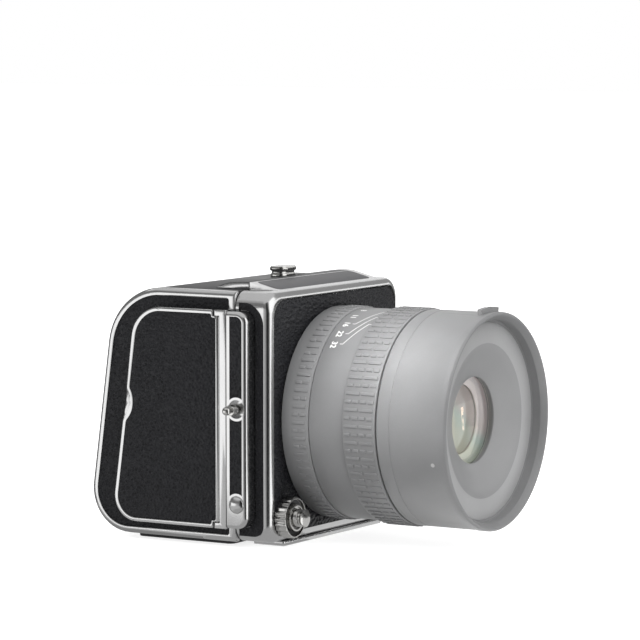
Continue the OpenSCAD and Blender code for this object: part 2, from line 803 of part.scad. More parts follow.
// Plate in a side of the back, with the plinth, band and ears that carry a flap
module side_plate(side) {
    low = half_w - skin_t - skin_low;
    plinth = face(side) - flap_t - flap_gap;
    axis_x = side * (face(side) - flap_r);
    difference() {
        union() {
            across(side, half_w - trim_d, low)
                polygon(back_outline(band_w + seat_gap, trim_w + seat_gap));
            across(side, low - eps, plinth) polygon(flap_outline(y_back + band_w + seat_gap, plinth_in));
            across(side, half_w, plinth) translate([y_back, flap_z0 + plinth_in])
                square([band_w + 1, flap_z1 - flap_z0 - 2 * plinth_in]);
            across(side, half_w, face(side)) translate([y_back, flap_z0])
                square([band_w, flap_z1 - flap_z0]);
            for (z = [flap_z0, flap_z1 - ear_h]) {
                across(side, plinth - 1, face(side) - flap_r) translate([y_back, z])
                    square([hinge_y + flap_r - y_back, ear_h]);
                across(side, plinth - 1, face(side)) translate([y_back, z])
                    square([hinge_y - y_back, ear_h]);
                post(axis_x, hinge_y, z, z + ear_h, flap_r);
            }
        }
        post(axis_x, hinge_y, flap_z0 + 0.6, flap_z1 + 1, flap_pin_r + seat_gap / 2);
        if (side == right) bay_mouth(bay_gap);
        if (side == left) port_mouth(0);
    }
}

// Mouths of the battery bay and the card slot, cut through the right side plate
module bay_mouth(d) {
    across(right, 10, face(right) + 1) {
        translate([bay_y, bay_z]) polygon(rounded(battery_t + 2 * d, battery_h + 2 * d, 3 + d));
        translate([card_y, card_z]) square([card_w + 2 * d, card_t + 2 * d], center = true);
    }
}

module port_mouth(d) {
    across(left, 20, face(left) + 1) translate([port_y, bay_z])
        polygon(rounded(port_w - 2 * d, port_h - 2 * d, 3));
}

module right_side_plate() {
    color("silver") side_plate(right);
}

module left_side_plate() {
    color("silver") side_plate(left);
}

// Corners cut out of a flap for the hinge ears, let out by d
module ear_corners(d) {
    for (z = [flap_z0 - 1, flap_z1 - ear_h - flap_gap - d]) translate([hinge_y - 1, z])
        square([flap_r + 1 + flap_gap + d, ear_h + 1 + flap_gap + d]);
}

// Leatherette of a flap, with a bay for the thumb scoop
module flap_skin(side, top, d) {
    across(side, face(side) - skin_t, top) difference() {
        polygon(flap_outline(hinge_y + 0.3 + d, flap_rim + d));
        translate(scoop_place()) circle(r = scoop_ring() + 0.6 + d);
        ear_corners(0.5 + d);
    }
}

// Thumb scoop: a round dish whose middle lies behind the flap's rear edge
function scoop_z() = z_bot + scoop_h;
function scoop_back() = 6.2;
function scoop_ring() = scoop_back() + scoop_w;
function scoop_place() =
    [y_rear - flap_rear / cos(lean) - tan(lean) * (scoop_z() - z_bot) + scoop_back(), scoop_z()];

module flap(side) {
    out = face(side);
    axis_x = side * (out - flap_r);
    ball = 28;
    dish = sqrt(ball * ball - scoop_ring() * scoop_ring());
    difference() {
        union() {
            across(side, out - flap_t, out) difference() {
                polygon(flap_outline(hinge_y, 0));
                ear_corners(0);
            }
            post(axis_x, hinge_y, flap_z0 + ear_h + flap_gap, flap_z1 - ear_h - flap_gap, flap_r);
        }
        post(axis_x, hinge_y, flap_z0, flap_z1, flap_pin_r + 0.06);
        flap_skin(side, out + 1, 0);
        translate([side * (out + dish), scoop_place()[0], scoop_place()[1]])
            sphere(r = ball, $fn = 96);
    }
}

module battery_door() {
    color("silver") flap(right);
}

module battery_door_leatherette() {
    color([0.13, 0.13, 0.14]) flap_skin(right, face(right) - 0.1, seat_gap);
}

module port_cover() {
    color("silver") flap(left);
}

module port_cover_leatherette() {
    color([0.13, 0.13, 0.14]) flap_skin(left, face(left) - 0.1, seat_gap);
}

module flap_pins() {
    color("gray") for (side = [right, left])
        post(side * (face(side) - flap_r), hinge_y, flap_z0 + 0.6, flap_z1, flap_pin_r);
}

// Hump on the top of the back, with the sunk boss that the release slider runs on
slider_y = y_back + 8;
boss_top = z_top + 1.6;
slot_w = 3.4;

module slider_track(length, r, z0, z1) {
    translate([slider_travel / 2, slider_y, z0]) linear_extrude(z1 - z0)
        polygon(rounded(length + slider_travel, 2 * r, r - eps));
}

module back_hump() {
    n = 14;
    color("silver") difference() {
        union() {
            across(left, -hump_half, hump_half) polygon(concat([[y_back, z_top]],
                [for (i = [0:n]) let (t = i / n)
                    [y_back + t * hump_tail, z_top + hump_rise * (1 - pow(t, 3.5))]]));
            slider_track(slider_l + 3, slider_r + 1.2, z_top, boss_top);
        }
        slider_track(slider_l + 1.2, slider_r + 0.6, boss_top, z_top + 2 * hump_rise);
        slider_track(slot_w, slot_w / 2, z_top + 0.5, z_top + 2 * hump_rise);
    }
}

// One layer of the slider's knob
module knob_layer(inset, z0, z1) {
    translate([0, slider_y, z0]) linear_extrude(z1 - z0)
        polygon(rounded(slider_l - 2 * inset, 2 * (slider_r - inset), slider_r - inset - eps));
}

module release_slider() {
    low = boss_top + 0.3;
    color("gainsboro") union() {
        translate([0, slider_y, z_top + 0.8]) cylinder(h = low - z_top, r = slot_w / 2 - 0.3);
        knob_layer(0.3, low, low + 1.5);
        knob_layer(0.7, low + 1.4, low + 2.6);
        knob_layer(0.15, low + 2.5, low + 2.9);
        knob_layer(0, low + 2.9, low + 3.7);
        knob_layer(0.3, low + 3.6, low + 4.1);
    }
}

module foot_plate() {
    color([0.2, 0.2, 0.21]) difference() {
        translate([0, foot_y, 0]) linear_extrude(base_t) polygon(rounded(foot_w, foot_l, 2.5));
        screw_holes();
    }
}

// Inside of the back

module sensor_plate() {
    w = 2 * (half_w - trim_d - seat_gap);
    h = body_h - 2 * (shell_wall + seat_gap);
    color([0.12, 0.12, 0.12]) difference() {
        deep(y_back, y_back + plate_t) translate([0, z_mid]) square([w, h], center = true);
        deep(y_back - 1, y_back + plate_t + 1) translate([0, lens_z])
            polygon(rounded(sensor_w + 3, sensor_h + 3, 2));
    }
}

module sensor_carrier() {
    w = chip_w + 2 * carrier_rim;
    h = chip_h + 2 * carrier_rim;
    color("gray") {
        difference() {
            deep(carrier_y, carrier_y + carrier_t) translate([0, lens_z]) square([w, h], center = true);
            deep(carrier_y - 1, carrier_y + glass_t + chip_t) translate([0, lens_z])
                square([chip_w + 2 * seat_gap, chip_h + 2 * seat_gap], center = true);
        }
        for (x = [-w / 2 + 4, w / 2 - 4], z = [-h / 2 + 4, h / 2 - 4])
            translate([x, carrier_y + carrier_t - eps, lens_z + z]) rotate([-90, 0, 0])
                cylinder(h = boss_len + eps, r = 2.4);
    }
}

module sensor_chip() {
    color([0.1, 0.12, 0.2]) deep(carrier_y + glass_t, carrier_y + glass_t + chip_t)
        translate([0, lens_z]) square([chip_w, chip_h], center = true);
}

module sensor_glass() {
    color([0.4, 0.5, 0.5, 0.5]) deep(carrier_y, carrier_y + glass_t) translate([0, lens_z])
        square([chip_w, chip_h], center = true);
}

module main_board() {
    color("darkgreen") difference() {
        deep(board_y, board_y + board_t) translate([0, z_mid])
            square([2 * (half_w - trim_d) - 4, body_h - 2 * shell_wall - 6], center = true);
        for (x = [-1, 1], z = [-1, 1]) translate([x * 34, board_y - 1, z_mid + z * 34])
            rotate([-90, 0, 0]) cylinder(h = board_t + 2, r = 1.6);
    }
}

module battery_bay() {
    l = battery_l + 2;
    x0 = half_w - trim_d - l;
    d = 2 * (bay_gap + bay_wall);
    color([0.2, 0.2, 0.2]) difference() {
        union() {
            across(right, x0, half_w - trim_d) translate([bay_y, bay_z])
                square([battery_t + d, battery_h + d], center = true);
            across(right, x0 + battery_l - card_l - 1, half_w - trim_d)
                translate([card_y, card_z]) square([card_w + d, card_t + d + eps], center = true);
        }
        across(right, x0 + bay_wall, half_w) translate([bay_y, bay_z])
            polygon(rounded(battery_t + 2 * bay_gap, battery_h + 2 * bay_gap, 3 + bay_gap));
        across(right, half_w - card_l - 2, half_w) translate([card_y, card_z])
            square([card_w + 2 * bay_gap, card_t + 2 * bay_gap], center = true);
    }
}

module battery() {
    color([0.25, 0.25, 0.26]) across(right, half_w - trim_d - battery_l, half_w - trim_d)
        translate([bay_y, bay_z]) polygon(rounded(battery_t, battery_h, 3));
}

module memory_card() {
    color([0.1, 0.1, 0.4]) across(right, half_w - card_l - 1, half_w - 1)
        translate([card_y, card_z]) square([card_w, card_t], center = true);
}

// Block of sockets behind the port cover
module port_block() {
    out = face(left) - flap_t - flap_gap - 1.2;
    color([0.12, 0.12, 0.12]) difference() {
        union() {
            across(left, half_w - trim_d - 8, out) translate([port_y, bay_z])
                polygon(rounded(port_w - 2 * seat_gap, port_h - 2 * seat_gap, 3 - seat_gap));
            across(left, half_w - trim_d - 8, half_w - trim_d) translate([port_y, bay_z])
                polygon(rounded(port_w + 4, port_h + 4, 3));
        }
        across(left, out - 7, out + 1) translate([port_y, bay_z + 17])
            polygon(rounded(3.4, 9.2, 1.65));
        for (z = [4, -5]) rod(left, out - 6, out + 1, port_y, bay_z + z, 1.8);
        for (z = [-13, -21]) rod(left, out - 5, out + 1, port_y, bay_z + z, 2.4);
    }
}

// Display and buttons

module display_tray() {
    w = bay_half_w - seat_gap;
    h = tray_half - seat_gap;
    floor_y = tray_floor - tray_wall;
    color([0.14, 0.14, 0.15]) on_rear() translate([0, 0, display_up]) difference() {
        union() {
            difference() {
                translate([-w, floor_y, -h]) cube([2 * w, -floor_y - 0.2, 2 * h]);
                translate([-w + tray_wall, tray_floor, -h + tray_wall])
                    cube([2 * (w - tray_wall), 30, 2 * (h - tray_wall)]);
            }
            for (x = [-display_w / 2, display_w / 2 - ear_h]) {
                translate([x, tray_floor - eps, pivot_z - display_up - display_t / 2])
                    cube([ear_h, pivot_y - tray_floor, display_t]);
                translate([x, pivot_y, pivot_z - display_up]) rotate([0, 90, 0])
                    cylinder(h = ear_h, r = display_t / 2);
            }
        }
        translate([-display_w / 2 + 0.8, pivot_y, pivot_z - display_up]) rotate([0, 90, 0])
            cylinder(h = display_w - 1.6, r = display_pin_r + seat_gap / 2);
    }
}

module display_frame() {
    w = display_w;
    y0 = display_proud - display_t;
    low = display_up - display_h / 2;
    barrel = w - 2 * ear_h - 2 * flap_gap;
    color([0.1, 0.1, 0.1]) on_rear() difference() {
        union() {
            translate([0, display_proud, 0]) rotate([90, 0, 0]) linear_extrude(display_t)
                difference() {
                    translate([0, (low + pivot_z) / 2]) polygon(concat(
                        arc([2.5 - w / 2, (low - pivot_z) / 2 + 2.5], 2.5, 180, 270, 8),
                        arc([w / 2 - 2.5, (low - pivot_z) / 2 + 2.5], 2.5, 270, 360, 8),
                        [[w / 2, (pivot_z - low) / 2], [-w / 2, (pivot_z - low) / 2]]));
                    for (x = [-w / 2 - 1, w / 2 - ear_h - flap_gap])
                        translate([x, pivot_z - display_t / 2 - flap_gap])
                            square([ear_h + 1 + flap_gap, display_t]);
                }
            translate([-barrel / 2, pivot_y, pivot_z]) rotate([0, 90, 0])
                cylinder(h = barrel, r = display_t / 2);
        }
        translate([-w, pivot_y, pivot_z]) rotate([0, 90, 0])
            cylinder(h = 2 * w, r = display_pin_r + 0.06);
        display_glass_blank(0);
    }
}

// Cover glass, let into the display's rear
module display_glass_blank(d) {
    h = pivot_z - display_up + display_h / 2 - 3.4;
    translate([0, display_proud + (d > 0 ? -0.05 : 1), display_up - display_h / 2 + 1.2 + h / 2])
        rotate([90, 0, 0]) linear_extrude(cover_t + (d > 0 ? -0.05 : 1))
            polygon(rounded(display_w - 2.4 - 2 * d, h - 2 * d, 1.6));
}

module display_glass() {
    color([0.05, 0.05, 0.06]) on_rear() display_glass_blank(seat_gap);
}

module display_pin() {
    color("gray") on_rear() translate([-display_w / 2 + 0.8, pivot_y, pivot_z]) rotate([0, 90, 0])
        cylinder(h = display_w - 1.6, r = display_pin_r);
}

function button_x(i) = (i - (button_n - 1) / 2) * button_pitch;

module button_bar() {
    w = bay_half_w - seat_gap;
    color([0.1, 0.1, 0.1]) on_rear() difference() {
        translate([-w, -bar_d, bar_z - bar_h / 2 + seat_gap])
            cube([2 * w, bar_d - 0.1, bar_h - 2 * seat_gap]);
        for (i = [0:button_n - 1]) translate([button_x(i), 1, bar_z]) rotate([90, 0, 0])
            linear_extrude(bar_d - 0.2) polygon(rounded(button_w + 0.4, button_h + 0.4, 1.2));
    }
}

module menu_button(i) {
    color([0.3, 0.3, 0.31]) on_rear() translate([button_x(i), button_proud, bar_z])
        rotate([90, 0, 0]) linear_extrude(button_proud + bar_d - 1.2 - button_travel - 0.25)
            polygon(rounded(button_w, button_h, 1));
}

// Lens

module lens_bayonet() {
    color("gainsboro") difference() {
        union() {
            ring(throat_r - core_wall - 0.5, throat_r - ring_fit, ring_gap - mount_t, 0.1);
            ring(throat_r - core_wall - 0.5, core_r, 0.05, 2);
        }
        on_lens() rotate([0, 0, lock_angle]) translate([lock_ring, 0, -9])
            cylinder(h = 20, r = lock_r + 0.3);
    }
}

module lens_barrel() {
    color("darkgray") {
        ring(core_r - core_wall, core_r, 2, u_nose + 4);
        ring(core_r - eps, band_r, u_band, u_band + band_len);
    }
}

// Grip bars of a ring: long bars and pairs of short ones, row by row
module grip_bars(r, u0) {
    long_bar = 2 * short_bar + bar_gap;
    on_lens() {
        translate([0, 0, u0]) linear_extrude(long_bar)
            polygon(comb(grip_pairs, r + grip_t, r - 0.3, grip_w));
        rotate([0, 0, 180 / grip_pairs]) for (u = [0, short_bar + bar_gap])
            translate([0, 0, u0 + u]) linear_extrude(short_bar)
                polygon(comb(grip_pairs, r + grip_t, r - 0.3, grip_w));
    }
}
grip_len = 2 * short_bar + bar_gap;

module control_ring() {
    r = barrel_r - 0.3;
    color("darkgray") difference() {
        union() {
            disc(r, u_control, u_control + control_len);
            grip_bars(r, u_control + control_len - grip_len - 1);
        }
        disc(core_r + ring_fit, 0, u_band + 1);
        disc(lock_ring + lock_r + ring_gap, 0, lock_proud + u_control);
    }
}

module focus_sleeve() {
    color("darkgray") ring(core_r + ring_fit, band_r - 0.3, u_focus, u_focus + focus_len);
}

module focus_ring() {
    edge = (focus_len - 2 * grip_len - bar_gap) / 2;
    color("darkgray") difference() {
        union() {
            disc(focus_r, u_focus, u_focus + focus_len);
            for (i = [0, 1]) grip_bars(focus_r, u_focus + edge + i * (grip_len + bar_gap));
        }
        disc(band_r - 0.3 + ring_fit, u_focus - 1, u_nose + 1);
        disc(band_r + 0.3, u_focus - 1, u_focus + clutch_travel + ring_gap + 0.3);
    }
}

module front_barrel() {
    seat = bezel_t + 0.05;
    rim = barrel_r + rim_rise;
    color("darkgray") union() {
        on_lens() rotate_extrude($fn = 128) polygon([
            [core_r + seat_gap, u_nose], [barrel_r - 0.5, u_nose], [barrel_r, u_nose + 0.5],
            [barrel_r, u_nose + 5.2], [barrel_r - 0.2, u_nose + 5.35], [barrel_r, u_nose + 5.5],
            [barrel_r, u_front - 3.6], [rim, u_front - 3.2],
            [rim, u_front - nose_bevel], [rim - nose_bevel, u_front],
            [rim - nose_bevel - lip_w, u_front], [filter_r, u_front - flare_d], [filter_r, u_shelf],
            [filter_r - 1, u_shelf], [filter_r - 1, u_shelf - seat], [filter_r - 2, u_shelf - seat],
            [filter_r - 2, u_shelf - seat - 2], [filter_r, u_shelf - seat - 4],
            [filter_r, u_nose + 5], [core_r + seat_gap, u_nose + 4]]);
        barrel_lug();
    }
}

// Lug on the top of the front barrel, just behind its rim, with a notch in its middle
module barrel_lug() {
    r = barrel_r + lug_t;
    a = asin(lug_w / 2 / r);
    notch = 2;
    on_lens() translate([0, 0, u_front - 3.4 - lug_l]) linear_extrude(lug_l) difference() {
        polygon(concat(arc([0, 0], r, 90 - a, 90 + a, 8), arc([0, 0], barrel_r - 1, 90 + a, 90 - a, 4)));
        translate([-notch / 2, r - 0.5]) square([notch, 1]);
    }
}

module front_bezel() {
    rim = filter_r - 1 - seat_gap;
    color([0.35, 0.35, 0.36]) on_lens() rotate_extrude($fn = 128) polygon([
        [rim, u_shelf - bezel_t], [rim, u_shelf], [funnel_r, u_shelf], [glass_r, u_glass],
        [glass_r, u_glass - bezel_t], [funnel_r, u_shelf - bezel_t]]);
}

module lens_cell() {
    web = u_band + 6;
    color([0.2, 0.2, 0.2]) union() {
        ring(element_r + seat_gap, cell_r, u_cell0, u_cell1);
        ring(cell_r - eps, core_r - core_wall - seat_gap, web, web + 3);
        ring(glass_r - 1, element_r + 0.1, u_cell0, u_cell0 + 1);
    }
}

module front_element() {
    color([0.5, 0.6, 0.6, 0.4]) element(element_r, u_cell1 - element_t, u_cell1 + 0.9, 2);
}

module iris() {
    color([0.15, 0.15, 0.15]) on_lens() translate([0, 0, u_iris]) difference() {
        cylinder(h = 1.6, r = element_r);
        translate([0, 0, -1]) cylinder(h = 4, r = 0.72 * element_r, $fn = iris_sides);
    }
}

module focus_cell() {
    color("gray") ring(element_r - 3, element_r - 0.15, u_group, u_group + group_len);
}

module focus_element() {
    color([0.5, 0.6, 0.6, 0.4])
        element(element_r - 3 - seat_gap, u_group + 0.5, u_group + group_len - 0.5, 1.2);
}

module rear_element() {
    color([0.5, 0.6, 0.6, 0.4]) element(element_r, u_cell0 + 1, u_cell0 + 5.6, 1);
}

front_frame();
front_leatherette();
name_plate();
strap_plates();
casing_leatherette();
strap_lugs();
lens_mount_ring();
lens_lock_pin();
base_plate();
tripod_bush();
case_screws();
shutter_collar();
control_wheel();
shutter_button();
lens_release_button();
back_shell();
edge_trims();
right_side_plate();
left_side_plate();
back_hump();
release_slider();
foot_plate();
sensor_plate();
sensor_carrier();
sensor_chip();
sensor_glass();
main_board();
battery_bay();
battery();
memory_card();
battery_door();
battery_door_leatherette();
flap_pins();
port_cover();
port_cover_leatherette();
port_block();
display_tray();
display_frame();
display_glass();
display_pin();
button_bar();
menu_button(0);  // menu_button_1
menu_button(1);  // menu_button_2
menu_button(2);  // menu_button_3
menu_button(3);  // menu_button_4
menu_button(4);  // menu_button_5
lens_bayonet();
lens_barrel();
control_ring();
focus_sleeve();
focus_ring();
front_barrel();
front_bezel();
lens_cell();
front_element();
iris();
focus_cell();
focus_element();
rear_element();
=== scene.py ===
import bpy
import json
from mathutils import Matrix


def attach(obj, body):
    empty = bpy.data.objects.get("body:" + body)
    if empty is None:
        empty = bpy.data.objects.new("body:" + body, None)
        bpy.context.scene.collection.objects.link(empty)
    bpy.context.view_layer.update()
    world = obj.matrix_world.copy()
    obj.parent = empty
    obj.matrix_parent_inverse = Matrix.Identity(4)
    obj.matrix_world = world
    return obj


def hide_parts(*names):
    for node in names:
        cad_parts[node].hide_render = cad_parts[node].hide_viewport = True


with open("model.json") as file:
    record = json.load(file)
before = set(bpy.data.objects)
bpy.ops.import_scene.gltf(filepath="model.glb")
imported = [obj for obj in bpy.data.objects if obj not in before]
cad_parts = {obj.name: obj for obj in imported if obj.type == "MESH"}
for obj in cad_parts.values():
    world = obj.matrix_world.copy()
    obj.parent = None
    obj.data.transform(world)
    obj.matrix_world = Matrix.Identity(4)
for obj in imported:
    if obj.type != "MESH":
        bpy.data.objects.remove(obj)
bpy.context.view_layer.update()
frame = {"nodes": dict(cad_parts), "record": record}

import json
from math import atan2, cos, hypot, pi, radians, sin

import bmesh
import bpy
from mathutils import Vector

mm = 0.001
scene = bpy.context.scene
cadNodes = frame["nodes"]
print("frame loaded,", len(cadNodes), "solids")


# node helpers shared by all finishes
def startFinish(name):
    finish = bpy.data.materials.new(name)
    finish.use_nodes = True
    tree = finish.node_tree
    tree.nodes.clear()
    out = tree.nodes.new("ShaderNodeOutputMaterial")
    shader = tree.nodes.new("ShaderNodeBsdfPrincipled")
    place = tree.nodes.new("ShaderNodeTexCoord")
    tree.links.new(shader.outputs["BSDF"], out.inputs["Surface"])
    return finish, tree, shader, place.outputs["Object"]


def stretch(tree, where, scale, turn=(0, 0, 0)):
    node = tree.nodes.new("ShaderNodeMapping")
    node.inputs["Scale"].default_value = scale
    node.inputs["Rotation"].default_value = turn
    tree.links.new(where, node.inputs["Vector"])
    return node.outputs["Vector"]


def noise(tree, where, scale, detail=3.0, rough=0.5, twist=0.0):
    node = tree.nodes.new("ShaderNodeTexNoise")
    node.inputs["Scale"].default_value = scale
    node.inputs["Detail"].default_value = detail
    node.inputs["Roughness"].default_value = rough
    node.inputs["Distortion"].default_value = twist
    tree.links.new(where, node.inputs["Vector"])
    return node.outputs[0]


def cells(tree, where, scale, feature="SMOOTH_F1"):
    node = tree.nodes.new("ShaderNodeTexVoronoi")
    node.feature = feature
    node.inputs["Scale"].default_value = scale
    tree.links.new(where, node.inputs["Vector"])
    return node.outputs["Distance"]


def spread(tree, value, low, high, fromLow=0.3, fromHigh=0.7):
    node = tree.nodes.new("ShaderNodeMapRange")
    for label, number in (("From Min", fromLow), ("From Max", fromHigh), ("To Min", low), ("To Max", high)):
        node.inputs[label].default_value = number
    tree.links.new(value, node.inputs["Value"])
    return node.outputs["Result"]


def tint(tree, value, dark, light, low=0.3, high=0.7):
    node = tree.nodes.new("ShaderNodeValToRGB")
    node.color_ramp.elements[0].position = low
    node.color_ramp.elements[1].position = high
    node.color_ramp.elements[0].color = (*dark, 1)
    node.color_ramp.elements[1].color = (*light, 1)
    tree.links.new(value, node.inputs["Fac"])
    return node.outputs["Color"]


def join(tree, first, second, share, how="ADD"):
    scaled = tree.nodes.new("ShaderNodeMath")
    scaled.operation = "MULTIPLY"
    scaled.inputs[1].default_value = share
    tree.links.new(second, scaled.inputs[0])
    total = tree.nodes.new("ShaderNodeMath")
    total.operation = how
    tree.links.new(first, total.inputs[0])
    tree.links.new(scaled.outputs[0], total.inputs[1])
    return total.outputs[0]


def emboss(tree, shader, height, strength, depth):
    node = tree.nodes.new("ShaderNodeBump")
    node.inputs["Strength"].default_value = strength
    node.inputs["Distance"].default_value = depth
    tree.links.new(height, node.inputs["Height"])
    tree.links.new(node.outputs["Normal"], shader.inputs["Normal"])


# black grained covering, with painted highlight on its raised grain and painted shade in its pits
leatherLook = {"dark": (0.001, 0.001, 0.0013), "light": (0.0115, 0.0118, 0.0138),
               "pebble": 1000, "crease": 520, "depth": 0.0007, "shine": 0.24}


def leatherFinish(name, look):
    finish, tree, shader, where = startFinish(name)
    warped = stretch(tree, where, (0.62, 0.95, 1.1), (0.12, 0.08, 0.1))
    pebble = cells(tree, warped, look["pebble"])
    crease = noise(tree, warped, look["crease"], 5, 0.62, 0.9)
    height = join(tree, pebble, crease, 0.85)
    patch = noise(tree, where, 38, 4, 0.6)
    # tone follows the grain's height: lighter raised grain is painted highlight, darker pits are painted shade; the
    # patches are random tone
    shade = join(tree, height, patch, 0.4)
    tree.links.new(tint(tree, shade, look["dark"], look["light"], 0.35, 1.25), shader.inputs["Base Color"])
    tree.links.new(spread(tree, height, 0.4, 0.28, 0.2, 1.1), shader.inputs["Roughness"])
    shader.inputs["Specular IOR Level"].default_value = look["shine"]
    emboss(tree, shader, height, 1.0, look["depth"])
    return finish


# plated and polished metal
def chromeFinish(name, tone, smooth, dull, brush=0.00001):
    finish, tree, shader, where = startFinish(name)
    cloud = noise(tree, where, 55, 5, 0.6)
    fine = noise(tree, where, 5200, 2)
    tree.links.new(tint(tree, cloud, tuple(c * 0.93 for c in tone), tone), shader.inputs["Base Color"])
    tree.links.new(spread(tree, join(tree, cloud, fine, 0.3), smooth, dull, 0.35, 0.85), shader.inputs["Roughness"])
    shader.inputs["Metallic"].default_value = 1.0
    emboss(tree, shader, fine, 0.25, brush)
    return finish


# sprayed, anodised and moulded surfaces
def paintFinish(name, dark, light, smooth, dull, grain=2600, depth=0.00003, metal=0.0, gloss=0.5):
    finish, tree, shader, where = startFinish(name)
    cloud = noise(tree, where, 30, 4, 0.6)
    speck = noise(tree, where, grain, 2)
    both = join(tree, cloud, speck, 0.35)
    tree.links.new(tint(tree, both, dark, light, 0.4, 0.95), shader.inputs["Base Color"])
    tree.links.new(spread(tree, both, smooth, dull, 0.4, 0.95), shader.inputs["Roughness"])
    shader.inputs["Metallic"].default_value = metal
    shader.inputs["Specular IOR Level"].default_value = gloss
    emboss(tree, shader, speck, 0.5, depth)
    return finish


# coated glass, seen through
def glassFinish(name, colour, film, filmIndex, clear=1.0):
    finish, tree, shader, where = startFinish(name)
    haze = noise(tree, where, 140, 3)
    tree.links.new(tint(tree, haze, tuple(c * 0.96 for c in colour), colour), shader.inputs["Base Color"])
    tree.links.new(spread(tree, haze, 0.0, 0.03), shader.inputs["Roughness"])
    shader.inputs["Transmission Weight"].default_value = clear
    shader.inputs["IOR"].default_value = 1.62
    shader.inputs["Thin Film Thickness"].default_value = film
    shader.inputs["Thin Film IOR"].default_value = filmIndex
    return finish


# painted reflection of the inner glass's coating: its coloured reflections are painted as a tint that runs across the
# disc
reflectionPaintLook = {"turn": 53.1, "across": 24.6, "middle": 45.2,
             "stops": ((0.0, (0.46, 0.45, 0.38)), (0.36, (0.38, 0.40, 0.33)), (0.54, (0.34, 0.40, 0.36)),
                       (0.72, (0.46, 0.38, 0.37)), (1.0, (0.50, 0.41, 0.41)))}


def reflectionPaintFinish(name, look, lift):
    finish, tree, shader, where = startFinish(name)
    across = stretch(tree, where, [1 / (look["across"] * mm)] * 3, (0, radians(look["turn"]), 0))
    start = 0.5 - sin(radians(look["turn"])) * look["middle"] / look["across"]
    across.node.inputs["Location"].default_value = (start, 0, 0)
    ramp = tree.nodes.new("ShaderNodeTexGradient")
    tree.links.new(across, ramp.inputs["Vector"])
    # lift raises every colour; above one it is painted light, for the cone that the front glass keeps in shade
    stops = [(spot, [lift * c for c in colour]) for spot, colour in look["stops"]]
    cloudy = join(tree, ramp.outputs["Fac"], noise(tree, where, 90, 3), 0.12)
    colours = tint(tree, cloudy, stops[0][1], stops[-1][1], 0.0, 1.0)
    for spot, colour in stops[1:-1]:
        colours.node.color_ramp.elements.new(spot).color = (*colour, 1)
    tree.links.new(colours, shader.inputs["Base Color"])
    tree.links.new(spread(tree, noise(tree, where, 140, 3), 0.06, 0.1), shader.inputs["Roughness"])
    shader.inputs["Specular IOR Level"].default_value = 0.8
    return finish


finishes = {
    "leather": leatherFinish("grainedLeather", leatherLook),
    "satin": chromeFinish("satinChrome", (0.66, 0.66, 0.66), 0.15, 0.21, 0.000003),
    "steel": chromeFinish("polishedSteel", (0.60, 0.595, 0.58), 0.09, 0.16, 0.000002),
    "screw": chromeFinish("screwSteel", (0.45, 0.45, 0.46), 0.18, 0.3),
    "black": paintFinish("blackPaint", (0.010, 0.010, 0.011), (0.022, 0.022, 0.024), 0.36, 0.5),
    "plastic": paintFinish("blackPlastic", (0.012, 0.012, 0.012), (0.024, 0.024, 0.025), 0.45, 0.6, 1800),
    "button": paintFinish("buttonRubber", (0.03, 0.03, 0.031), (0.05, 0.05, 0.052), 0.5, 0.65, 1500),
    "plate": paintFinish("plateGrey", (0.042, 0.042, 0.045), (0.058, 0.058, 0.062), 0.4, 0.5),
    "lens": paintFinish("lensGrey", (0.17, 0.171, 0.173), (0.212, 0.213, 0.216), 0.36, 0.46, 3000, 0.00002),
    "bezel": paintFinish("bezelGrey", (0.29, 0.291, 0.294), (0.34, 0.341, 0.344), 0.34, 0.42, 3000, 0.00002),
    # darker copy of the bezel grey for the funnel faces: painted shade
    "funnel": paintFinish("funnelPaintedShade", (0.215, 0.216, 0.219), (0.25, 0.251, 0.254), 0.34, 0.42, 3000, 0.00002),
    "dot": paintFinish("dotGrey", (0.36, 0.36, 0.355), (0.42, 0.42, 0.415), 0.5, 0.6),
    # painted reflections of the inner glass's coating
    "paintedReflection": reflectionPaintFinish("paintedCoatReflection", reflectionPaintLook, 1.0),
    # the cone's copy, lifted to a paler tone as painted light
    "paintedLightCone": reflectionPaintFinish("paintedLightCone", reflectionPaintLook, 1.75),
    "cell": paintFinish("cellGrey", (0.24, 0.24, 0.23), (0.32, 0.32, 0.31), 0.4, 0.55),
    "carrier": paintFinish("carrierMetal", (0.30, 0.30, 0.30), (0.38, 0.38, 0.38), 0.3, 0.42, 2200, 0.00002, 0.9),
    "board": paintFinish("boardGreen", (0.012, 0.05, 0.022), (0.02, 0.085, 0.036), 0.3, 0.45),
    "battery": paintFinish("batteryCase", (0.045, 0.045, 0.048), (0.07, 0.07, 0.075), 0.4, 0.55),
    "card": paintFinish("cardCase", (0.03, 0.03, 0.034), (0.05, 0.05, 0.056), 0.35, 0.5),
    "silicon": paintFinish("sensorSilicon", (0.03, 0.05, 0.06), (0.06, 0.08, 0.075), 0.12, 0.22, 6000, 0.000004, 0.6),
    "screen": paintFinish("screenGlass", (0.006, 0.006, 0.007), (0.010, 0.010, 0.012), 0.03, 0.07, 900, 0.000002),
    "white": paintFinish("whiteMark", (0.78, 0.78, 0.77), (0.86, 0.86, 0.85), 0.5, 0.6),
    "lensGlass": glassFinish("coatedGlass", (0.95, 0.97, 0.95), 90.0, 1.38),
    "filterGlass": glassFinish("filterGlass", (0.80, 0.93, 0.95), 320.0, 1.38),
}
print("finishes made,", len(finishes))

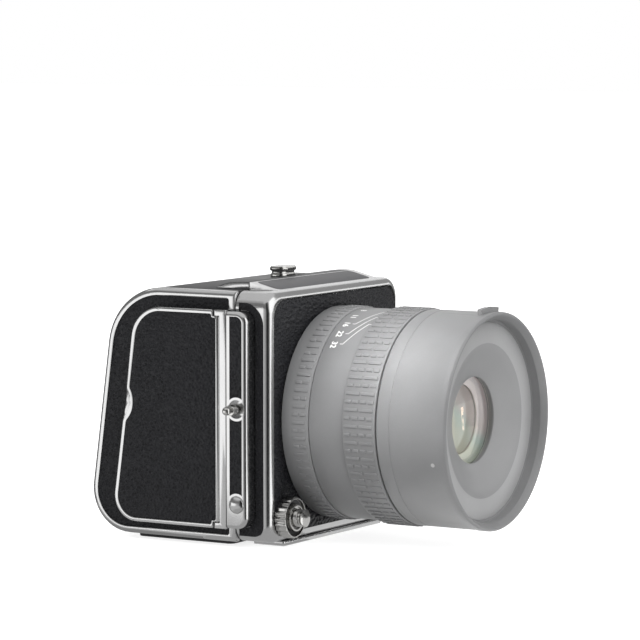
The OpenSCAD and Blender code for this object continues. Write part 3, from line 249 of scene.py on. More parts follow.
# finish and record slot of every solid
dressing = {
    "satin_metal": ("satin", ["front_frame", "strap_plates", "edge_trims", "right_side_plate", "left_side_plate",
                              "back_hump", "battery_door", "port_cover", "control_wheel", "base_plate"]),
    "bright_steel": ("steel", ["strap_lugs", "lens_mount_ring", "lens_lock_pin", "tripod_bush", "shutter_collar",
                               "lens_release_button", "shutter_button", "release_slider", "flap_pins", "display_pin",
                               "lens_bayonet"]),
    "screw_steel": ("screw", ["case_screws"]),
    "leatherette": ("leather", ["front_leatherette", "casing_leatherette", "battery_door_leatherette",
                                "port_cover_leatherette"]),
    "black_metal": ("black", ["back_shell", "foot_plate", "name_plate", "sensor_plate"]),
    "black_plastic": ("plastic", ["battery_bay", "port_block", "display_tray", "display_frame", "button_bar"]),
    "button_plastic": ("button", ["menu_button_%d" % number for number in range(1, 6)]),
    "screen_glass": ("screen", ["display_glass"]),
    "sensor_silicon": ("silicon", ["sensor_chip"]),
    "filter_glass": ("filterGlass", ["sensor_glass"]),
    "carrier_metal": ("carrier", ["sensor_carrier"]),
    "circuit_board": ("board", ["main_board"]),
    "battery_case": ("battery", ["battery"]),
    "card_case": ("card", ["memory_card"]),
    "lens_grey": ("lens", ["lens_barrel", "control_ring", "focus_sleeve", "focus_ring", "front_barrel"]),
    "bezel_grey": ("bezel", ["front_bezel"]),
    "lens_glass": ("lensGlass", ["front_element", "focus_element", "rear_element"]),
}
# solids whose finish isn't that of their slot, or that have no slot
special = {"name_plate": "plate", "control_wheel": "steel", "lens_release_button": "satin",
           "lens_cell": "cell", "iris": "cell", "focus_cell": "cell"}
bodyOf = {}
for bodyName, members in frame["record"]["behaviour"]["bodies"].items():
    for member in members:
        bodyOf[member] = bodyName
slotOf = {member: slotName for slotName, (finishName, members) in dressing.items() for member in members}
finishOf = {member: finishName for finishName, members in dressing.values() for member in members}
finishOf.update(special)
for nodeName, solid in cadNodes.items():
    solid.data.materials.clear()
    solid.data.materials.append(finishes[finishOf[nodeName]])


# a softened copy of a solid: doubles merged, sharp edges rounded
def softCopy(nodeName, width=0.15, steps=2, angle=32, smooth=40):
    mesh = cadNodes[nodeName].data.copy()
    for label in ("custom_normal", "sharp_edge", "sharp_face"):
        if label in mesh.attributes:
            mesh.attributes.remove(mesh.attributes[label])
    bm = bmesh.new()
    bm.from_mesh(mesh)
    bmesh.ops.remove_doubles(bm, verts=bm.verts, dist=0.000003)
    bmesh.ops.dissolve_degenerate(bm, edges=bm.edges, dist=0.000002)
    bm.to_mesh(mesh)
    bm.free()
    piece = bpy.data.objects.new(nodeName + ".soft", mesh)
    scene.collection.objects.link(piece)
    if width > 0:
        edge = piece.modifiers.new("edge", "BEVEL")
        edge.width = width * mm
        edge.segments = steps
        edge.limit_method = "ANGLE"
        edge.angle_limit = radians(angle)
        edge.use_clamp_overlap = False
        edge.miter_outer = "MITER_ARC"
        settle(piece)
    piece.data.polygons.foreach_set("use_smooth", [True] * len(piece.data.polygons))
    piece.data.set_sharp_from_angle(angle=radians(smooth))
    return piece


# bakes the modifiers of a piece into a plain mesh
def settle(piece):
    bpy.context.view_layer.update()
    baked = bpy.data.meshes.new_from_object(piece.evaluated_get(bpy.context.evaluated_depsgraph_get()))
    piece.modifiers.clear()
    piece.data = baked


def place(piece, body, replaced=(), slotName=None):
    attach(piece, body)
    if replaced:
        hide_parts(*replaced)
    return piece


# closed prism from an outline, with its places given by a function of the outline's two numbers and the depth
def prism(name, outline, low, high, where):
    count = len(outline)
    points = [where(a, b, low) for a, b in outline] + [where(a, b, high) for a, b in outline]
    faces = [tuple(range(count)), tuple(range(2 * count - 1, count - 1, -1))]
    faces += [(i, count + i, count + (i + 1) % count, (i + 1) % count) for i in range(count)]
    return solidMesh(name, points, faces)


# faces between neighbouring rows of points, closed on themselves where asked
def gridFaces(rows, columns, closeRows=False, closeColumns=False):
    faces = []
    for k in range(rows if closeRows else rows - 1):
        here, there = k * columns, (k + 1) % rows * columns
        for i in range(columns if closeColumns else columns - 1):
            j = (i + 1) % columns
            faces.append((here + i, here + j, there + j, there + i))
    return faces


# mesh object from millimetres, with its faces turned outwards
def solidMesh(name, points, faces):
    mesh = bpy.data.meshes.new(name)
    mesh.from_pydata([Vector(p) * mm for p in points], [], faces)
    bm = bmesh.new()
    bm.from_mesh(mesh)
    bmesh.ops.remove_doubles(bm, verts=bm.verts, dist=0.000002)
    bmesh.ops.recalc_face_normals(bm, faces=bm.faces)
    bm.to_mesh(mesh)
    bm.free()
    piece = bpy.data.objects.new(name, mesh)
    scene.collection.objects.link(piece)
    return piece


def carve(piece, tool, how="DIFFERENCE"):
    cut = piece.modifiers.new("carve", "BOOLEAN")
    cut.operation = how
    cut.object = tool
    cut.solver = "EXACT"
    settle(piece)
    bpy.data.objects.remove(tool)


# one piece out of several, each with its own finish
def merge(name, parts, angle=30):
    bm = bmesh.new()
    finishList = []
    for part in parts:
        for finish in part.data.materials:
            if finish not in finishList:
                finishList.append(finish)
        first = len(bm.faces)
        bm.from_mesh(part.data)
        bm.faces.ensure_lookup_table()
        places = [finishList.index(finish) for finish in part.data.materials]
        for face in bm.faces[first:]:
            face.material_index = places[face.material_index]
        bpy.data.objects.remove(part)
    mesh = bpy.data.meshes.new(name)
    bm.to_mesh(mesh)
    bm.free()
    for finish in finishList:
        mesh.materials.append(finish)
    whole = bpy.data.objects.new(name, mesh)
    scene.collection.objects.link(whole)
    shade(whole, angle)
    return whole


def shade(piece, angle=30):
    piece.data.polygons.foreach_set("use_smooth", [True] * len(piece.data.polygons))
    piece.data.set_sharp_from_angle(angle=radians(angle))


def roundEdges(piece, width, steps=2, angle=32):
    edge = piece.modifiers.new("edge", "BEVEL")
    edge.width = width * mm
    edge.segments = steps
    edge.limit_method = "ANGLE"
    edge.angle_limit = radians(angle)
    edge.use_clamp_overlap = False
    settle(piece)


def paint(piece, finishName):
    piece.data.materials.clear()
    piece.data.materials.append(finishes[finishName])


def arcPoints(centre, radius, start, end, steps):
    return [(centre[0] + radius * cos(radians(start + (end - start) * i / steps)),
             centre[1] + radius * sin(radians(start + (end - start) * i / steps))) for i in range(steps + 1)]


# centres of the four rounded corners of an upright outline
def cornerCentres(half, low, high, corner):
    return ((half - corner, high - corner), (corner - half, high - corner),
            (corner - half, low + corner), (half - corner, low + corner))


# the lens axis: u runs forwards from the front face, angles start at the battery side and rise to the top
lensAxis = {"front": -8.0, "height": 45.2}
# axis that the wheel and the shutter button share, along y, and the sunk face round it
wheelAxis = {"x": -35.4275, "z": 10.988, "sunkRadius": 6.5, "sunkFrom": -12.3}


def onLens(radius, angle, u):
    return (-radius * cos(radians(angle)), lensAxis["front"] - u, lensAxis["height"] + radius * sin(radians(angle)))


# turned piece about the lens axis from a closed profile of radius and u
def turned(name, profile, steps=180):
    points = [onLens(r, 360 * k / steps, u) for k in range(steps) for r, u in profile]
    return solidMesh(name, points, gridFaces(steps, len(profile), True, True))


# front casting: its edge rolls in from the sides, deeper under the brow
casting = {"halfWide": 45.5, "low": 2.0, "high": 91.0, "front": -8.0, "seam": 6.0, "cornerOut": 6.0, "cornerIn": 6.5,
           "rim": 2.9, "lip": 0.15, "sideDepth": 3.0, "browDepth": 3.7, "chinDepth": 3.0, "skin": 0.8, "break": 0.15,
           "rollSteps": 14, "cornerSteps": 14, "humpHalf": 36.0, "humpRise": 2.6, "mountRadius": 37.05,
           "lightRadius": 31.0, "plateSide": 3.2, "plateNear": 0.5, "plateFar": 0.4, "plateCorner": 2.4,
           "wheelBore": 4.9, "bushBore": 4.85, "lockRing": 35.15, "lockAngle": 197, "lockBore": 1.3}


def castingRing(inset, roll=None, level=None):
    c = casting
    corner = c["cornerOut"] + (c["cornerIn"] - c["cornerOut"]) * min(inset / c["rim"], 1)
    wide, low, high = c["halfWide"] - inset, c["low"] + inset, c["high"] - inset
    ring = []
    for turn, (x, z) in enumerate(cornerCentres(wide, low, high, corner)):
        for i in range(c["cornerSteps"] + 1):
            a = radians(90 * turn + 90 * i / c["cornerSteps"])
            upDepth = c["browDepth"] if sin(a) > 0 else c["chinDepth"]
            depth = c["sideDepth"] * cos(a) ** 2 + upDepth * sin(a) ** 2
            y = level if level is not None else c["front"] + depth * (1 - roll)
            ring.append((x + corner * cos(a), y, z + corner * sin(a)))
    return ring


def buildCasting():
    c = casting
    rings = [castingRing(c["break"], level=c["seam"]), castingRing(0, level=c["seam"] - c["break"])]
    for i in range(c["rollSteps"] + 1):
        b = radians(90 * i / c["rollSteps"])
        rings.append(castingRing(c["rim"] * (1 - cos(b)), roll=sin(b)))
    rings.append(castingRing(c["rim"] + c["lip"], level=c["front"]))
    rings.append(castingRing(c["rim"] + c["lip"], level=c["front"] + c["skin"]))
    count = len(rings[0])
    faces = gridFaces(len(rings), count, closeColumns=True)
    faces += [tuple(range(count)), tuple(range((len(rings) - 1) * count, len(rings) * count))]
    body = solidMesh("front_frame.soft", [p for ring in rings for p in ring], faces)
    # wedge of the hump, its name plate's bed, and the bores and beds of the parts that sit in it
    slopeStart = c["front"] + c["browDepth"]
    wedge = [(slopeStart - 0.6, c["high"] - 2), (slopeStart, c["high"]),
             (c["seam"], c["high"] + c["humpRise"]), (c["seam"], c["high"] - 2)]
    carve(body, prism("wedge", wedge, -c["humpHalf"], c["humpHalf"], lambda a, b, d: (d, a, b)), "UNION")
    tilt = atan2(c["humpRise"], c["seam"] - slopeStart)
    length = hypot(c["humpRise"], c["seam"] - slopeStart)
    halfPlate, far, corner = c["humpHalf"] - c["plateSide"], length - c["plateFar"], c["plateCorner"]
    plate = []
    for k, spot in enumerate(cornerCentres(halfPlate, c["plateNear"], far, corner)):
        plate += arcPoints(spot, corner, 90 * k, 90 * k + 90, 8)

    def onSlope(a, b, d):
        return (a, slopeStart + b * cos(tilt) - d * sin(tilt), c["high"] + b * sin(tilt) + d * cos(tilt))
    carve(body, prism("plateBed", plate, -c["skin"], 2, onSlope))
    sideBed = [(4.7, 4.5), (4.7, 87.2)]
    sideBed += arcPoints((2.5, 79.2), 8, 90, 180, 10) + arcPoints((-1.5, 8.5), 4, 180, 270, 8)
    stripBed = [(6.05, 7.65), (6.05, 84.45)]
    stripBed += arcPoints((2.2, 80.2), 4.25, 90, 180, 8) + arcPoints((2.2, 11.9), 4.25, 180, 270, 8)
    bedFloor, bedTop = c["halfWide"] - c["skin"], c["halfWide"] + 1
    for side in (-1, 1):
        for outline in (sideBed, stripBed):
            carve(body, prism("bed", outline, bedFloor, bedTop, lambda a, b, d: (side * d, a, b)))
    circle = arcPoints((0, 0), 1, 0, 360 - 360 / 96, 95)

    def boreAlongY(x, z, radius, low, high):
        outline = [(x + radius * a, z + radius * b) for a, b in circle]
        carve(body, prism("bore", outline, low, high, lambda a, b, d: (a, d, b)))
    boreAlongY(0, lensAxis["height"], c["lightRadius"], -9, 7)
    boreAlongY(0, lensAxis["height"], c["mountRadius"], -9, -5.5)
    boreAlongY(wheelAxis["x"], wheelAxis["z"], c["wheelBore"], -9, -6.5)
    lockTurn = radians(c["lockAngle"])
    boreAlongY(c["lockRing"] * cos(lockTurn), lensAxis["height"] + c["lockRing"] * sin(lockTurn), c["lockBore"], -9, 1)
    bush = [(c["bushBore"] * a, c["bushBore"] * b) for a, b in circle]
    carve(body, prism("bore", bush, 1, 10, lambda a, b, d: (a, b, d)))
    shade(body, 28)
    paint(body, "satin")
    return place(body, "camera", ["front_frame"], "satin_metal")


buildCasting()
print("front casting made")

# strap plates: rolled edges, a bed for the leather, a cup for the lug and a hole for the release button
strap = {"seam": 6.0, "front": -2.0, "low": 7.7, "high": 84.4, "corner": 4.2, "edge": 1.6, "foot": 44.7, "rim": 1.7,
         "skin": 0.8, "middle": 2.0, "lugHeight": 50.1, "cup": 3.3, "cupDepth": 3.0, "buttonHeight": 16.35,
         "buttonHole": 3.1, "bayWall": 0.9, "bedStop": 1.2, "rollSteps": 10, "rightFace": 51.5, "leftFace": 50.5}


def buildStrap(side, face):
    t = strap

    def outline(inset, x):
        path = [(t["seam"], t["high"] - inset)]
        path += arcPoints((t["front"] + t["corner"], t["high"] - t["corner"]), t["corner"] - inset, 90, 180, 12)
        path += arcPoints((t["front"] + t["corner"], t["low"] + t["corner"]), t["corner"] - inset, 180, 270, 12)
        return [(side * x, y, z) for y, z in path + [(t["seam"], t["low"] + inset)]]
    rings = [outline(0, t["foot"])]
    for i in range(t["rollSteps"] + 1):
        b = radians(90 * i / t["rollSteps"])
        rings.append(outline(t["edge"] * (1 - cos(b)), face - t["edge"] * (1 - sin(b))))
    count, last = len(rings[0]), len(rings) - 1
    faces = gridFaces(last + 1, count)
    faces += [tuple(range(count)), tuple(range(last * count, last * count + count))]
    faces.append(tuple([k * count for k in range(last + 1)] + [k * count + count - 1 for k in range(last, -1, -1)]))
    plate = solidMesh("strapPlate", [p for ring in rings for p in ring], faces)

    def outOf(a, b, d):
        return (side * d, a, b)

    def disc(z, radius):
        return [(t["middle"] + radius * cos(2 * pi * i / 64), z + radius * sin(2 * pi * i / 64)) for i in range(64)]
    rim, inner = t["rim"], t["corner"] - t["rim"]
    bed = [(t["seam"] - t["bedStop"], t["low"] + rim), (t["seam"] - t["bedStop"], t["high"] - rim)]
    bed += arcPoints((t["front"] + t["corner"], t["high"] - t["corner"]), inner, 90, 180, 8)
    bed += arcPoints((t["front"] + t["corner"], t["low"] + t["corner"]), inner, 180, 270, 8)
    tool = prism("bed", bed, face - t["skin"], face + 1, outOf)
    # the bed stays clear of the lug's cup, the button's hole and all below it
    bays = [disc(t["lugHeight"], t["cup"] + t["bayWall"]), disc(t["buttonHeight"], t["buttonHole"] + t["bayWall"]),
            [(-9, 0), (14, 0), (14, t["buttonHeight"]), (-9, t["buttonHeight"])]]
    for bay in bays:
        carve(tool, prism("bay", bay, face - 3, face + 3, outOf))
    carve(plate, tool)
    carve(plate, prism("cup", disc(t["lugHeight"], t["cup"]), face - t["cupDepth"], face + 1, outOf))
    if side < 0:
        carve(plate, prism("hole", disc(t["buttonHeight"], t["buttonHole"]), t["foot"] - 1, face + 1, outOf))
    return plate


def buildStraps():
    plates = [buildStrap(-1, strap["rightFace"]), buildStrap(1, strap["leftFace"])]
    for plate in plates:
        paint(plate, "satin")
    both = merge("strap_plates.soft", plates)
    return place(both, "camera", ["strap_plates"], "satin_metal")


buildStraps()
print("strap plates made")

softEdges = {
    "edge_trims": 0.45, "right_side_plate": 0.15, "left_side_plate": 0.15,
    "battery_door": 0.42, "port_cover": 0.42, "lens_release_button": 0.15, "front_leatherette": 0.18,
    "casing_leatherette": 0.1, "battery_door_leatherette": 0.18, "port_cover_leatherette": 0.18, "back_shell": 0.2,
    "back_hump": 0.25, "foot_plate": 0.25, "base_plate": 0.25, "name_plate": 0.15, "release_slider": 0.15,
    "shutter_collar": 0.1, "control_wheel": 0.1, "strap_lugs": 0.1, "lens_barrel": 0.1,
    "front_barrel": 0.1, "front_bezel": 0.06, "display_frame": 0.2,
}
# faces in a second finish: the top of the hump, the sunk face of the wheel, and the funnel before the glass, whose
# darker copy of the bezel grey is painted shade
secondFinish = {
    "back_hump": ("black", lambda normal, spot: normal.z > 0.3),
    "control_wheel": ("black", lambda normal, spot: spot.y > wheelAxis["sunkFrom"] and
                      hypot(spot.x - wheelAxis["x"], spot.z - wheelAxis["z"]) < wheelAxis["sunkRadius"]),
    "front_bezel": ("funnel", lambda normal, spot: normal.y > -0.97),
}
for nodeName, width in softEdges.items():
    piece = softCopy(nodeName, width)
    paint(piece, finishOf[nodeName])
    if nodeName in secondFinish:
        otherFinish, belongs = secondFinish[nodeName]
        piece.data.materials.append(finishes[otherFinish])
        for face in piece.data.polygons:
            face.material_index = int(belongs(face.normal, face.center / mm))
    place(piece, bodyOf[nodeName], [nodeName], slotOf.get(nodeName))
print("soft copies made,", len(softEdges))


# rows of long and short grip bars round a ring, as geometry nodes
def gripNodes(finish):
    tree = bpy.data.node_groups.new("gripRow", "GeometryNodeTree")
    sockets = {}
    for label in ("Pairs", "Radius", "Start", "Short Bar", "Gap", "Width", "Height"):
        kind = "NodeSocketInt" if label == "Pairs" else "NodeSocketFloat"
        sockets[label] = tree.interface.new_socket(label, in_out="INPUT", socket_type=kind).identifier
    tree.interface.new_socket("Geometry", in_out="OUTPUT", socket_type="NodeSocketGeometry")
    given = tree.nodes.new("NodeGroupInput")
    result = tree.nodes.new("NodeGroupOutput")

    def sums(how, first, second):
        node = tree.nodes.new("ShaderNodeMath")
        node.operation = how
        for index, part in enumerate((first, second)):
            if isinstance(part, (int, float)):
                node.inputs[index].default_value = part
            else:
                tree.links.new(part, node.inputs[index])
        return node.outputs[0]

    shortBar, firstStart = given.outputs["Short Bar"], given.outputs["Start"]
    longBar = sums("ADD", sums("MULTIPLY", shortBar, 2), given.outputs["Gap"])
    secondStart = sums("ADD", sums("ADD", firstStart, shortBar), given.outputs["Gap"])
    halfStep = sums("DIVIDE", pi, given.outputs["Pairs"])
    place = tree.nodes.new("GeometryNodeInputPosition")
    face = tree.nodes.new("FunctionNodeAlignRotationToVector")
    face.axis = "X"
    tree.links.new(place.outputs[0], face.inputs["Vector"])
    merged = tree.nodes.new("GeometryNodeJoinGeometry")
    bars = ((longBar, firstStart, None), (shortBar, firstStart, halfStep), (shortBar, secondStart, halfStep))
    for length, start, turn in bars:
        circle = tree.nodes.new("GeometryNodeMeshCircle")
        tree.links.new(given.outputs["Pairs"], circle.inputs["Vertices"])
        tree.links.new(given.outputs["Radius"], circle.inputs["Radius"])
        bar = tree.nodes.new("GeometryNodeMeshCube")
        size = tree.nodes.new("ShaderNodeCombineXYZ")
        tree.links.new(given.outputs["Height"], size.inputs[0])
        tree.links.new(given.outputs["Width"], size.inputs[1])
        tree.links.new(length, size.inputs[2])
        tree.links.new(size.outputs[0], bar.inputs["Size"])
        spots = tree.nodes.new("GeometryNodeInstanceOnPoints")
        tree.links.new(circle.outputs[0], spots.inputs["Points"])
        tree.links.new(bar.outputs["Mesh"], spots.inputs["Instance"])
        tree.links.new(face.outputs[0], spots.inputs["Rotation"])
        lift = tree.nodes.new("GeometryNodeTransform")
        spin = tree.nodes.new("ShaderNodeCombineXYZ")
        rise = tree.nodes.new("ShaderNodeCombineXYZ")
        if turn:
            tree.links.new(turn, spin.inputs[2])
        tree.links.new(sums("ADD", start, sums("MULTIPLY", length, 0.5)), rise.inputs[2])
        tree.links.new(spin.outputs[0], lift.inputs["Rotation"])
        tree.links.new(rise.outputs[0], lift.inputs["Translation"])
        tree.links.new(spots.outputs[0], lift.inputs["Geometry"])
        tree.links.new(lift.outputs[0], merged.inputs[0])
    stand = tree.nodes.new("GeometryNodeTransform")
    stand.inputs["Rotation"].default_value = (pi / 2, 0, 0)
    stand.inputs["Translation"].default_value = (0, lensAxis["front"] * mm, lensAxis["height"] * mm)
    real = tree.nodes.new("GeometryNodeRealizeInstances")
    dress = tree.nodes.new("GeometryNodeSetMaterial")
    dress.inputs["Material"].default_value = finish
    tree.links.new(merged.outputs[0], stand.inputs["Geometry"])
    tree.links.new(stand.outputs[0], real.inputs[0])
    tree.links.new(real.outputs[0], dress.inputs["Geometry"])
    tree.links.new(dress.outputs[0], result.inputs[0])
    return tree, sockets


grip = {"pairs": 42, "shortBar": 2.3, "gap": 0.7, "width": 1.15, "rise": 0.34, "sunk": 0.35, "edge": 0.16}
gripTree, gripSockets = gripNodes(finishes["lens"])


def gripRing(nodeName, profile, radius, starts):
    ring = turned("ring", profile)
    paint(ring, "lens")
    rows = []
    for start in starts:
        row = bpy.data.objects.new("gripRow", bpy.data.meshes.new("gripRow"))
        scene.collection.objects.link(row)
        maker = row.modifiers.new("grip", "NODES")
        maker.node_group = gripTree
        values = {"Pairs": grip["pairs"], "Radius": (radius + (grip["rise"] - grip["sunk"]) / 2) * mm,
                  "Start": start * mm, "Short Bar": grip["shortBar"] * mm, "Gap": grip["gap"] * mm,
                  "Width": grip["width"] * mm, "Height": (grip["rise"] + grip["sunk"]) * mm}
        for label, value in values.items():
            maker[gripSockets[label]] = value
        settle(row)
        roundEdges(row, grip["edge"], 3)
        rows.append(row)
    return place(merge(nodeName + ".soft", [ring] + rows, 35), bodyOf[nodeName], [nodeName], "lens_grey")


# profile as radius and u, outer radius, and where each row of bars starts
ringShapes = {
    "control_ring": ([(35.3, 11.2), (38.0, 11.2), (38.15, 11.12), (38.2, 11.0), (38.2, 0.6), (38.15, 0.48),
                      (38.0, 0.4), (36.65, 0.4), (36.65, 1.2), (35.3, 1.2)], 38.2, [4.9]),
    "focus_ring": ([(37.7, 38.5), (38.5, 38.5), (38.65, 38.42), (38.7, 38.3), (38.7, 25.7), (38.65, 25.58),
                    (38.5, 25.5), (38.2, 25.5), (38.2, 30.1), (37.7, 30.1)], 38.7, [26.35, 32.35]),
}
for nodeName, shape in ringShapes.items():
    gripRing(nodeName, *shape)
print("grip rings made")


# shutter button: stem, neck and a flared head with a bowed end, on the wheel's axis
shutterHead = {"steps": 72, "profile": (
    (0, -7.9), (3.18, -7.9), (3.2, -8.0), (3.2, -14.5), (3.1, -14.65), (2.45, -14.8), (2.35, -15.1), (2.35, -15.9),
    (2.6, -16.15), (3.05, -16.4), (3.25, -16.52), (3.27, -16.62), (3.1, -16.72), (2.6, -16.85), (1.8, -16.97),
    (0.9, -17.03), (0, -17.05))}


def buildShutterHead():
    steps, profile = shutterHead["steps"], shutterHead["profile"]
    points = []
    for k in range(steps):
        a = 2 * pi * k / steps
        points += [(wheelAxis["x"] + r * cos(a), y, wheelAxis["z"] + r * sin(a)) for r, y in profile]
    head = solidMesh("shutter_button.soft", points, gridFaces(steps, len(profile), closeRows=True))
    shade(head, 50)
    paint(head, "steel")
    return place(head, bodyOf["shutter_button"], ["shutter_button"], "bright_steel")


buildShutterHead()
print("shutter button made")


# front glass: a thin bowed shell, a cone behind it painted pale as painted light, and an opaque inner glass with
# painted coloured reflections
frontGlass = {"radius": 16.05, "apex": 56.1, "sag": 2.0, "shell": 1.2, "coneFrom": 52.6, "coneTo": 50.6,
              "coneWall": 0.4, "inner": 12.3, "innerApex": 51.4, "innerSag": 1.5, "innerGap": 0.05, "back": 49.3}


def bowed(radius, apex, sag, steps=14):
    ball = (radius * radius + sag * sag) / (2 * sag)
    reaches = [radius * i / steps for i in range(steps + 1)]
    return [(r, apex - ball + (ball * ball - r ** 2) ** 0.5) for r in reaches]


def buildFrontGlass():
    g = frontGlass
    shell = bowed(g["radius"], g["apex"], g["sag"]) + bowed(g["radius"], g["apex"] - g["shell"], g["sag"])[::-1]
    cone = [(g["radius"], g["coneFrom"]), (g["radius"], g["coneFrom"] - g["coneWall"]),
            (g["inner"], g["coneTo"] - g["coneWall"]), (g["inner"], g["coneTo"])]
    rim = g["inner"] - g["innerGap"]
    inner = bowed(rim, g["innerApex"], g["innerSag"]) + [(rim, g["back"]), (0, g["back"])]
    layers = []
    for profile, finishName in ((shell, "lensGlass"), (cone, "paintedLightCone"), (inner, "paintedReflection")):
        layer = turned("glassLayer", profile, 96)
        paint(layer, finishName)
        layers.append(layer)
    return place(merge("front_element.soft", layers), "camera", ["front_element"], "lens_glass")


buildFrontGlass()
print("front glass made")


# white scale marks on the band: numbers with bent lines, and a dot on the barrel
scaleMarks = {"radius": 37.93, "numbers": (("32", 44.7), ("22", 36.6), ("16", 28.0), ("11", 19.1), ("8", 8.8)),
              "u": 14.0, "size": 3.1, "bold": 0.07, "lines": (44.0, 36.2, 27.4), "line": 0.25, "lineStart": 17.3,
              "bend": 18.5, "lineEnd": 23.9, "stop": 24.9, "lean": 17.0,
              "dot": (-17.9, 60.6, 0.75), "dotRadius": 38.53, "barrel": 38.5, "dotSteps": 24}


def flatMesh(name, points, faces):
    mesh = bpy.data.meshes.new(name)
    mesh.from_pydata([Vector(p) * mm for p in points], [], faces)
    piece = bpy.data.objects.new(name, mesh)
    scene.collection.objects.link(piece)
    return piece


def buildMarks():
    m = scaleMarks
    points, faces = [], []
    for label, offset in m["numbers"]:
        for side in (-1, 1):
            curve = bpy.data.curves.new("digits", "FONT")
            curve.body = label
            curve.align_x = "CENTER"
            curve.size = m["size"]
            curve.offset = m["bold"]
            curve.resolution_u = 4
            letter = bpy.data.objects.new("digits", curve)
            scene.collection.objects.link(letter)
            bpy.context.view_layer.update()
            flat = bpy.data.meshes.new_from_object(letter.evaluated_get(bpy.context.evaluated_depsgraph_get()))
            first = len(points)
            for v in flat.vertices:
                angle = 90 + side * offset - v.co.x / m["radius"] * 180 / pi
                points.append(onLens(m["radius"], angle, m["u"] + v.co.y))
            faces += [tuple(first + i for i in face.vertices) for face in flat.polygons]
            bpy.data.objects.remove(letter)
    for offset in m["lines"]:
        for side in (-1, 1):
            ended = offset - m["lean"]
            path = [(offset, m["lineStart"]), (offset, m["bend"]), (ended, m["lineEnd"]), (ended, m["stop"])]
            trail = []
            for (a0, u0), (a1, u1) in zip(path, path[1:]):
                trail += [(a0 + (a1 - a0) * i / 8, u0 + (u1 - u0) * i / 8) for i in range(8)]
            trail.append(path[-1])
            first = len(points)
            for i, (a, u) in enumerate(trail):
                before, after = trail[max(i - 1, 0)], trail[min(i + 1, len(trail) - 1)]
                run = Vector(((after[0] - before[0]) * pi / 180 * m["radius"], after[1] - before[1])).normalized()
                for hand in (-1, 1):
                    da = hand * -run.y * m["line"] / 2 / m["radius"] * 180 / pi
                    points.append(onLens(m["radius"], 90 + side * (a + da), u + hand * run.x * m["line"] / 2))
            faces += [tuple(first + i for i in face) for face in gridFaces(len(trail), 2)]
    angle, u, radius = m["dot"]
    first = len(points)
    for i in range(m["dotSteps"]):
        a = 2 * pi * i / m["dotSteps"]
        points.append(onLens(m["dotRadius"], angle + radius * cos(a) / m["barrel"] * 180 / pi, u + radius * sin(a)))
    faces.append(tuple(range(first, first + m["dotSteps"])))
    marks = flatMesh("scaleMarks", points, faces)
    paint(marks, "white")
    marks.data.materials.append(finishes["dot"])
    marks.data.polygons[len(faces) - 1].material_index = 1
    bm = bmesh.new()
    bm.from_mesh(marks.data)
    centre = Vector((0, 0, lensAxis["height"] * mm))
    bm.normal_update()
    for face in bm.faces:
        spot = face.calc_center_median()
        if face.normal.dot(Vector((spot.x, 0, spot.z - centre.z))) < 0:
            face.normal_flip()
    bm.to_mesh(marks.data)
    bm.free()
    return place(marks, "camera")


buildMarks()
print("scale marks made")


# floor, light and camera
studio = {"floorTone": (0.62, 0.62, 0.62), "floorPale": (0.64, 0.64, 0.64), "floorHalf": 6.0, "floorLevel": -0.0001,
          "floorGlow": 0.8, "skyFill": 1.15}
lamps = {"key": {"spot": (-0.80, 0.72, 0.95), "size": (0.5, 0.5), "power": 3.0},
         "fill": {"spot": (-0.2, -1.1, 1.0), "size": (0.9, 0.9), "power": 7.0},
         "barrel": {"turn": 40, "u": 44, "away": 0.07, "size": (0.004, 0.05), "power": 0.024}}


def buildFloor():
    finish, tree, shader, where = startFinish("paleFloor")
    cloud = noise(tree, where, 6, 3)
    tree.links.new(tint(tree, cloud, studio["floorTone"], studio["floorPale"]), shader.inputs["Base Color"])
    shader.inputs["Roughness"].default_value = 0.8
    shader.inputs["Specular IOR Level"].default_value = 0.1
    shader.inputs["Emission Color"].default_value = (1, 1, 1, 1)
    tree.links.new(spread(tree, seenRays(tree), 0.0, studio["floorGlow"], 0, 1), shader.inputs["Emission Strength"])
    mesh = bpy.data.meshes.new("floor")
    half, level = studio["floorHalf"], studio["floorLevel"]
    corners = [(x * half, y * half, level) for x, y in ((-1, -1), (1, -1), (1, 1), (-1, 1))]
    mesh.from_pydata(corners, [], [(0, 1, 2, 3)])
    mesh.materials.append(finish)
    floor = bpy.data.objects.new("floor", mesh)
    scene.collection.objects.link(floor)


# one for the rays that show the background: straight, mirrored or through glass
def seenRays(tree):
    rays = tree.nodes.new("ShaderNodeLightPath")
    first = tree.nodes.new("ShaderNodeMath")
    first.operation = "MAXIMUM"
    second = tree.nodes.new("ShaderNodeMath")
    second.operation = "MAXIMUM"
    tree.links.new(rays.outputs["Is Camera Ray"], first.inputs[0])
    tree.links.new(rays.outputs["Is Glossy Ray"], first.inputs[1])
    tree.links.new(first.outputs[0], second.inputs[0])
    tree.links.new(rays.outputs["Is Transmission Ray"], second.inputs[1])
    return second.outputs[0]


def buildWorld():
    world = bpy.data.worlds.new("studioWorld")
    world.use_nodes = True
    scene.world = world
    tree = world.node_tree
    tree.nodes.clear()
    out = tree.nodes.new("ShaderNodeOutputWorld")
    sky = tree.nodes.new("ShaderNodeBackground")
    sky.inputs["Color"].default_value = (1, 1, 1, 1)
    tree.links.new(spread(tree, seenRays(tree), studio["skyFill"], 1.0, 0, 1), sky.inputs["Strength"])
    tree.links.new(sky.outputs[0], out.inputs[0])


# soft lamp aimed at the object
def addLamp(name, spot, aim, size, power):
    lamp = bpy.data.lights.new(name, "AREA")
    lamp.shape = "RECTANGLE"
    lamp.size, lamp.size_y = size
    lamp.energy = power
    holder = bpy.data.objects.new(name, lamp)
    holder.location = spot
    holder.rotation_euler = (Vector(aim) - Vector(spot)).to_track_quat("-Z", "Y").to_euler()
    holder.visible_camera = False
    holder.visible_glossy = False
    scene.collection.objects.link(holder)
    return holder


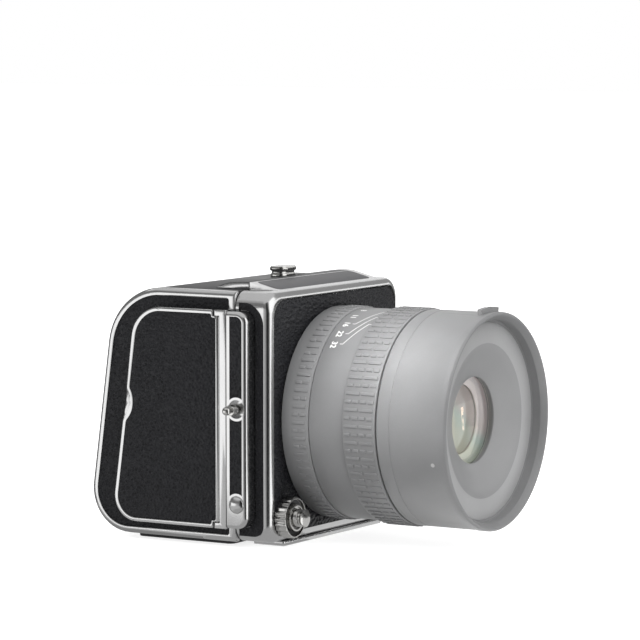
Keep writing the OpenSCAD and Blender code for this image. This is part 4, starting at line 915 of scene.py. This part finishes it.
# studio cards that only the reflections see: each covers headings and rises as seen from the front edge
cards = (
    ("tableCard", 0, 360, -90, -60, 0.45),
    ("lowFarCard", 12, 96, -60, -24, 0.3),
    ("lowSideCard", 96, 200, -60, -24, 0.6),
    ("chinCard", 310, 372, -60, -8, 0.75),
    ("farCard", 12, 40, -24, 40, 0.95),
    ("rearCard", 40, 110, -24, 40, 0.2),
    ("sideCard", 110, 164, -24, 9, 1.4),
    ("glowCard", 164, 178, -24, 9, 0.8),
    ("softCard", 178, 200, -24, 9, 0.48),
    ("upperCard", 110, 200, 9, 36, 0.22),
    ("crestCard", 110, 200, 36, 46, 0.5),
    ("dimCard", 200, 211, -60, 46, 0.22),
    ("darkCard", 211, 245, -60, 46, 0.025),
    ("greyCard", 245, 258, -60, 46, 0.4),
    ("stripCard", 258, 310, -60, 46, 1.6),
    ("blackCard", 310, 346, -8, 9, 0.012),
    ("lineCard", 310, 346, 9, 19, 1.4),
    ("restCard", 346, 372, -8, 19, 0.35),
    ("glintCard", 316.5, 319, -9, -1, 9.0),
    ("browCard", 310, 372, 19, 46, 0.38),
    ("roofCard", 0, 360, 46, 90, 0.7),
)


def addCard(name, fromHeading, toHeading, fromRise, toRise, tone):
    # brighter cards stand a little nearer, so the small one isn't hidden
    eye, reach, lowest = Vector((-0.045, -0.008, 0.05)), 0.7 - 0.002 * tone, 0.0004
    finish, tree, shader, where = startFinish(name + "Paper")
    shader.inputs["Base Color"].default_value = (0, 0, 0, 1)
    shader.inputs["Specular IOR Level"].default_value = 0
    shader.inputs["Emission Color"].default_value = (1, 1, 1, 1)
    cloud = noise(tree, where, 5, 2)
    tree.links.new(spread(tree, cloud, tone * 0.95, tone), shader.inputs["Emission Strength"])
    across, up = 36, 24
    points = []
    for j in range(up + 1):
        rise = radians(fromRise + (toRise - fromRise) * j / up)
        for i in range(across + 1):
            heading = radians(fromHeading + (toHeading - fromHeading) * i / across)
            ray = Vector((cos(heading) * cos(rise), sin(heading) * cos(rise), sin(rise)))
            far = reach if ray.z >= 0 else min(reach, (lowest - eye.z) / ray.z)
            points.append(eye + ray * far)
    mesh = bpy.data.meshes.new(name)
    mesh.from_pydata(points, [], gridFaces(up + 1, across + 1))
    mesh.materials.append(finish)
    card = bpy.data.objects.new(name, mesh)
    scene.collection.objects.link(card)
    card.visible_camera = False
    card.visible_diffuse = False
    card.visible_shadow = False
    card.visible_transmission = False


# the photo's view
viewPoint = {"spot": (-1.11557, -0.67172, 0.19130), "aim": (-0.011103, -0.008, 0.079), "lens": 203.4}


def buildCamera():
    data = bpy.data.cameras.new("photoCamera")
    data.lens = viewPoint["lens"]
    data.sensor_width = 36
    data.clip_start = 0.05
    data.clip_end = 20
    holder = bpy.data.objects.new("photoCamera", data)
    holder.location = viewPoint["spot"]
    holder.rotation_euler = (Vector(viewPoint["aim"]) - Vector(viewPoint["spot"])).to_track_quat("-Z", "Y").to_euler()
    scene.collection.objects.link(holder)
    scene.camera = holder


buildFloor()
buildWorld()
middle = (0.0, 0.0, 0.05)
for lampName in ("key", "fill"):
    lamp = lamps[lampName]
    addLamp(lampName + "Lamp", lamp["spot"], middle, lamp["size"], lamp["power"])
# a narrow lamp along the barrel gives its soft highlight
lamp = lamps["barrel"]
barrelMiddle = Vector((0, lensAxis["front"] - lamp["u"], lensAxis["height"])) * mm
barrelSide = Vector((-cos(radians(lamp["turn"])), 0, sin(radians(lamp["turn"]))))
addLamp("barrelLamp", barrelMiddle + barrelSide * lamp["away"], barrelMiddle, lamp["size"], lamp["power"])
for card in cards:
    addCard(*card)
buildCamera()
scene.view_settings.view_transform = "Standard"
print("studio set")
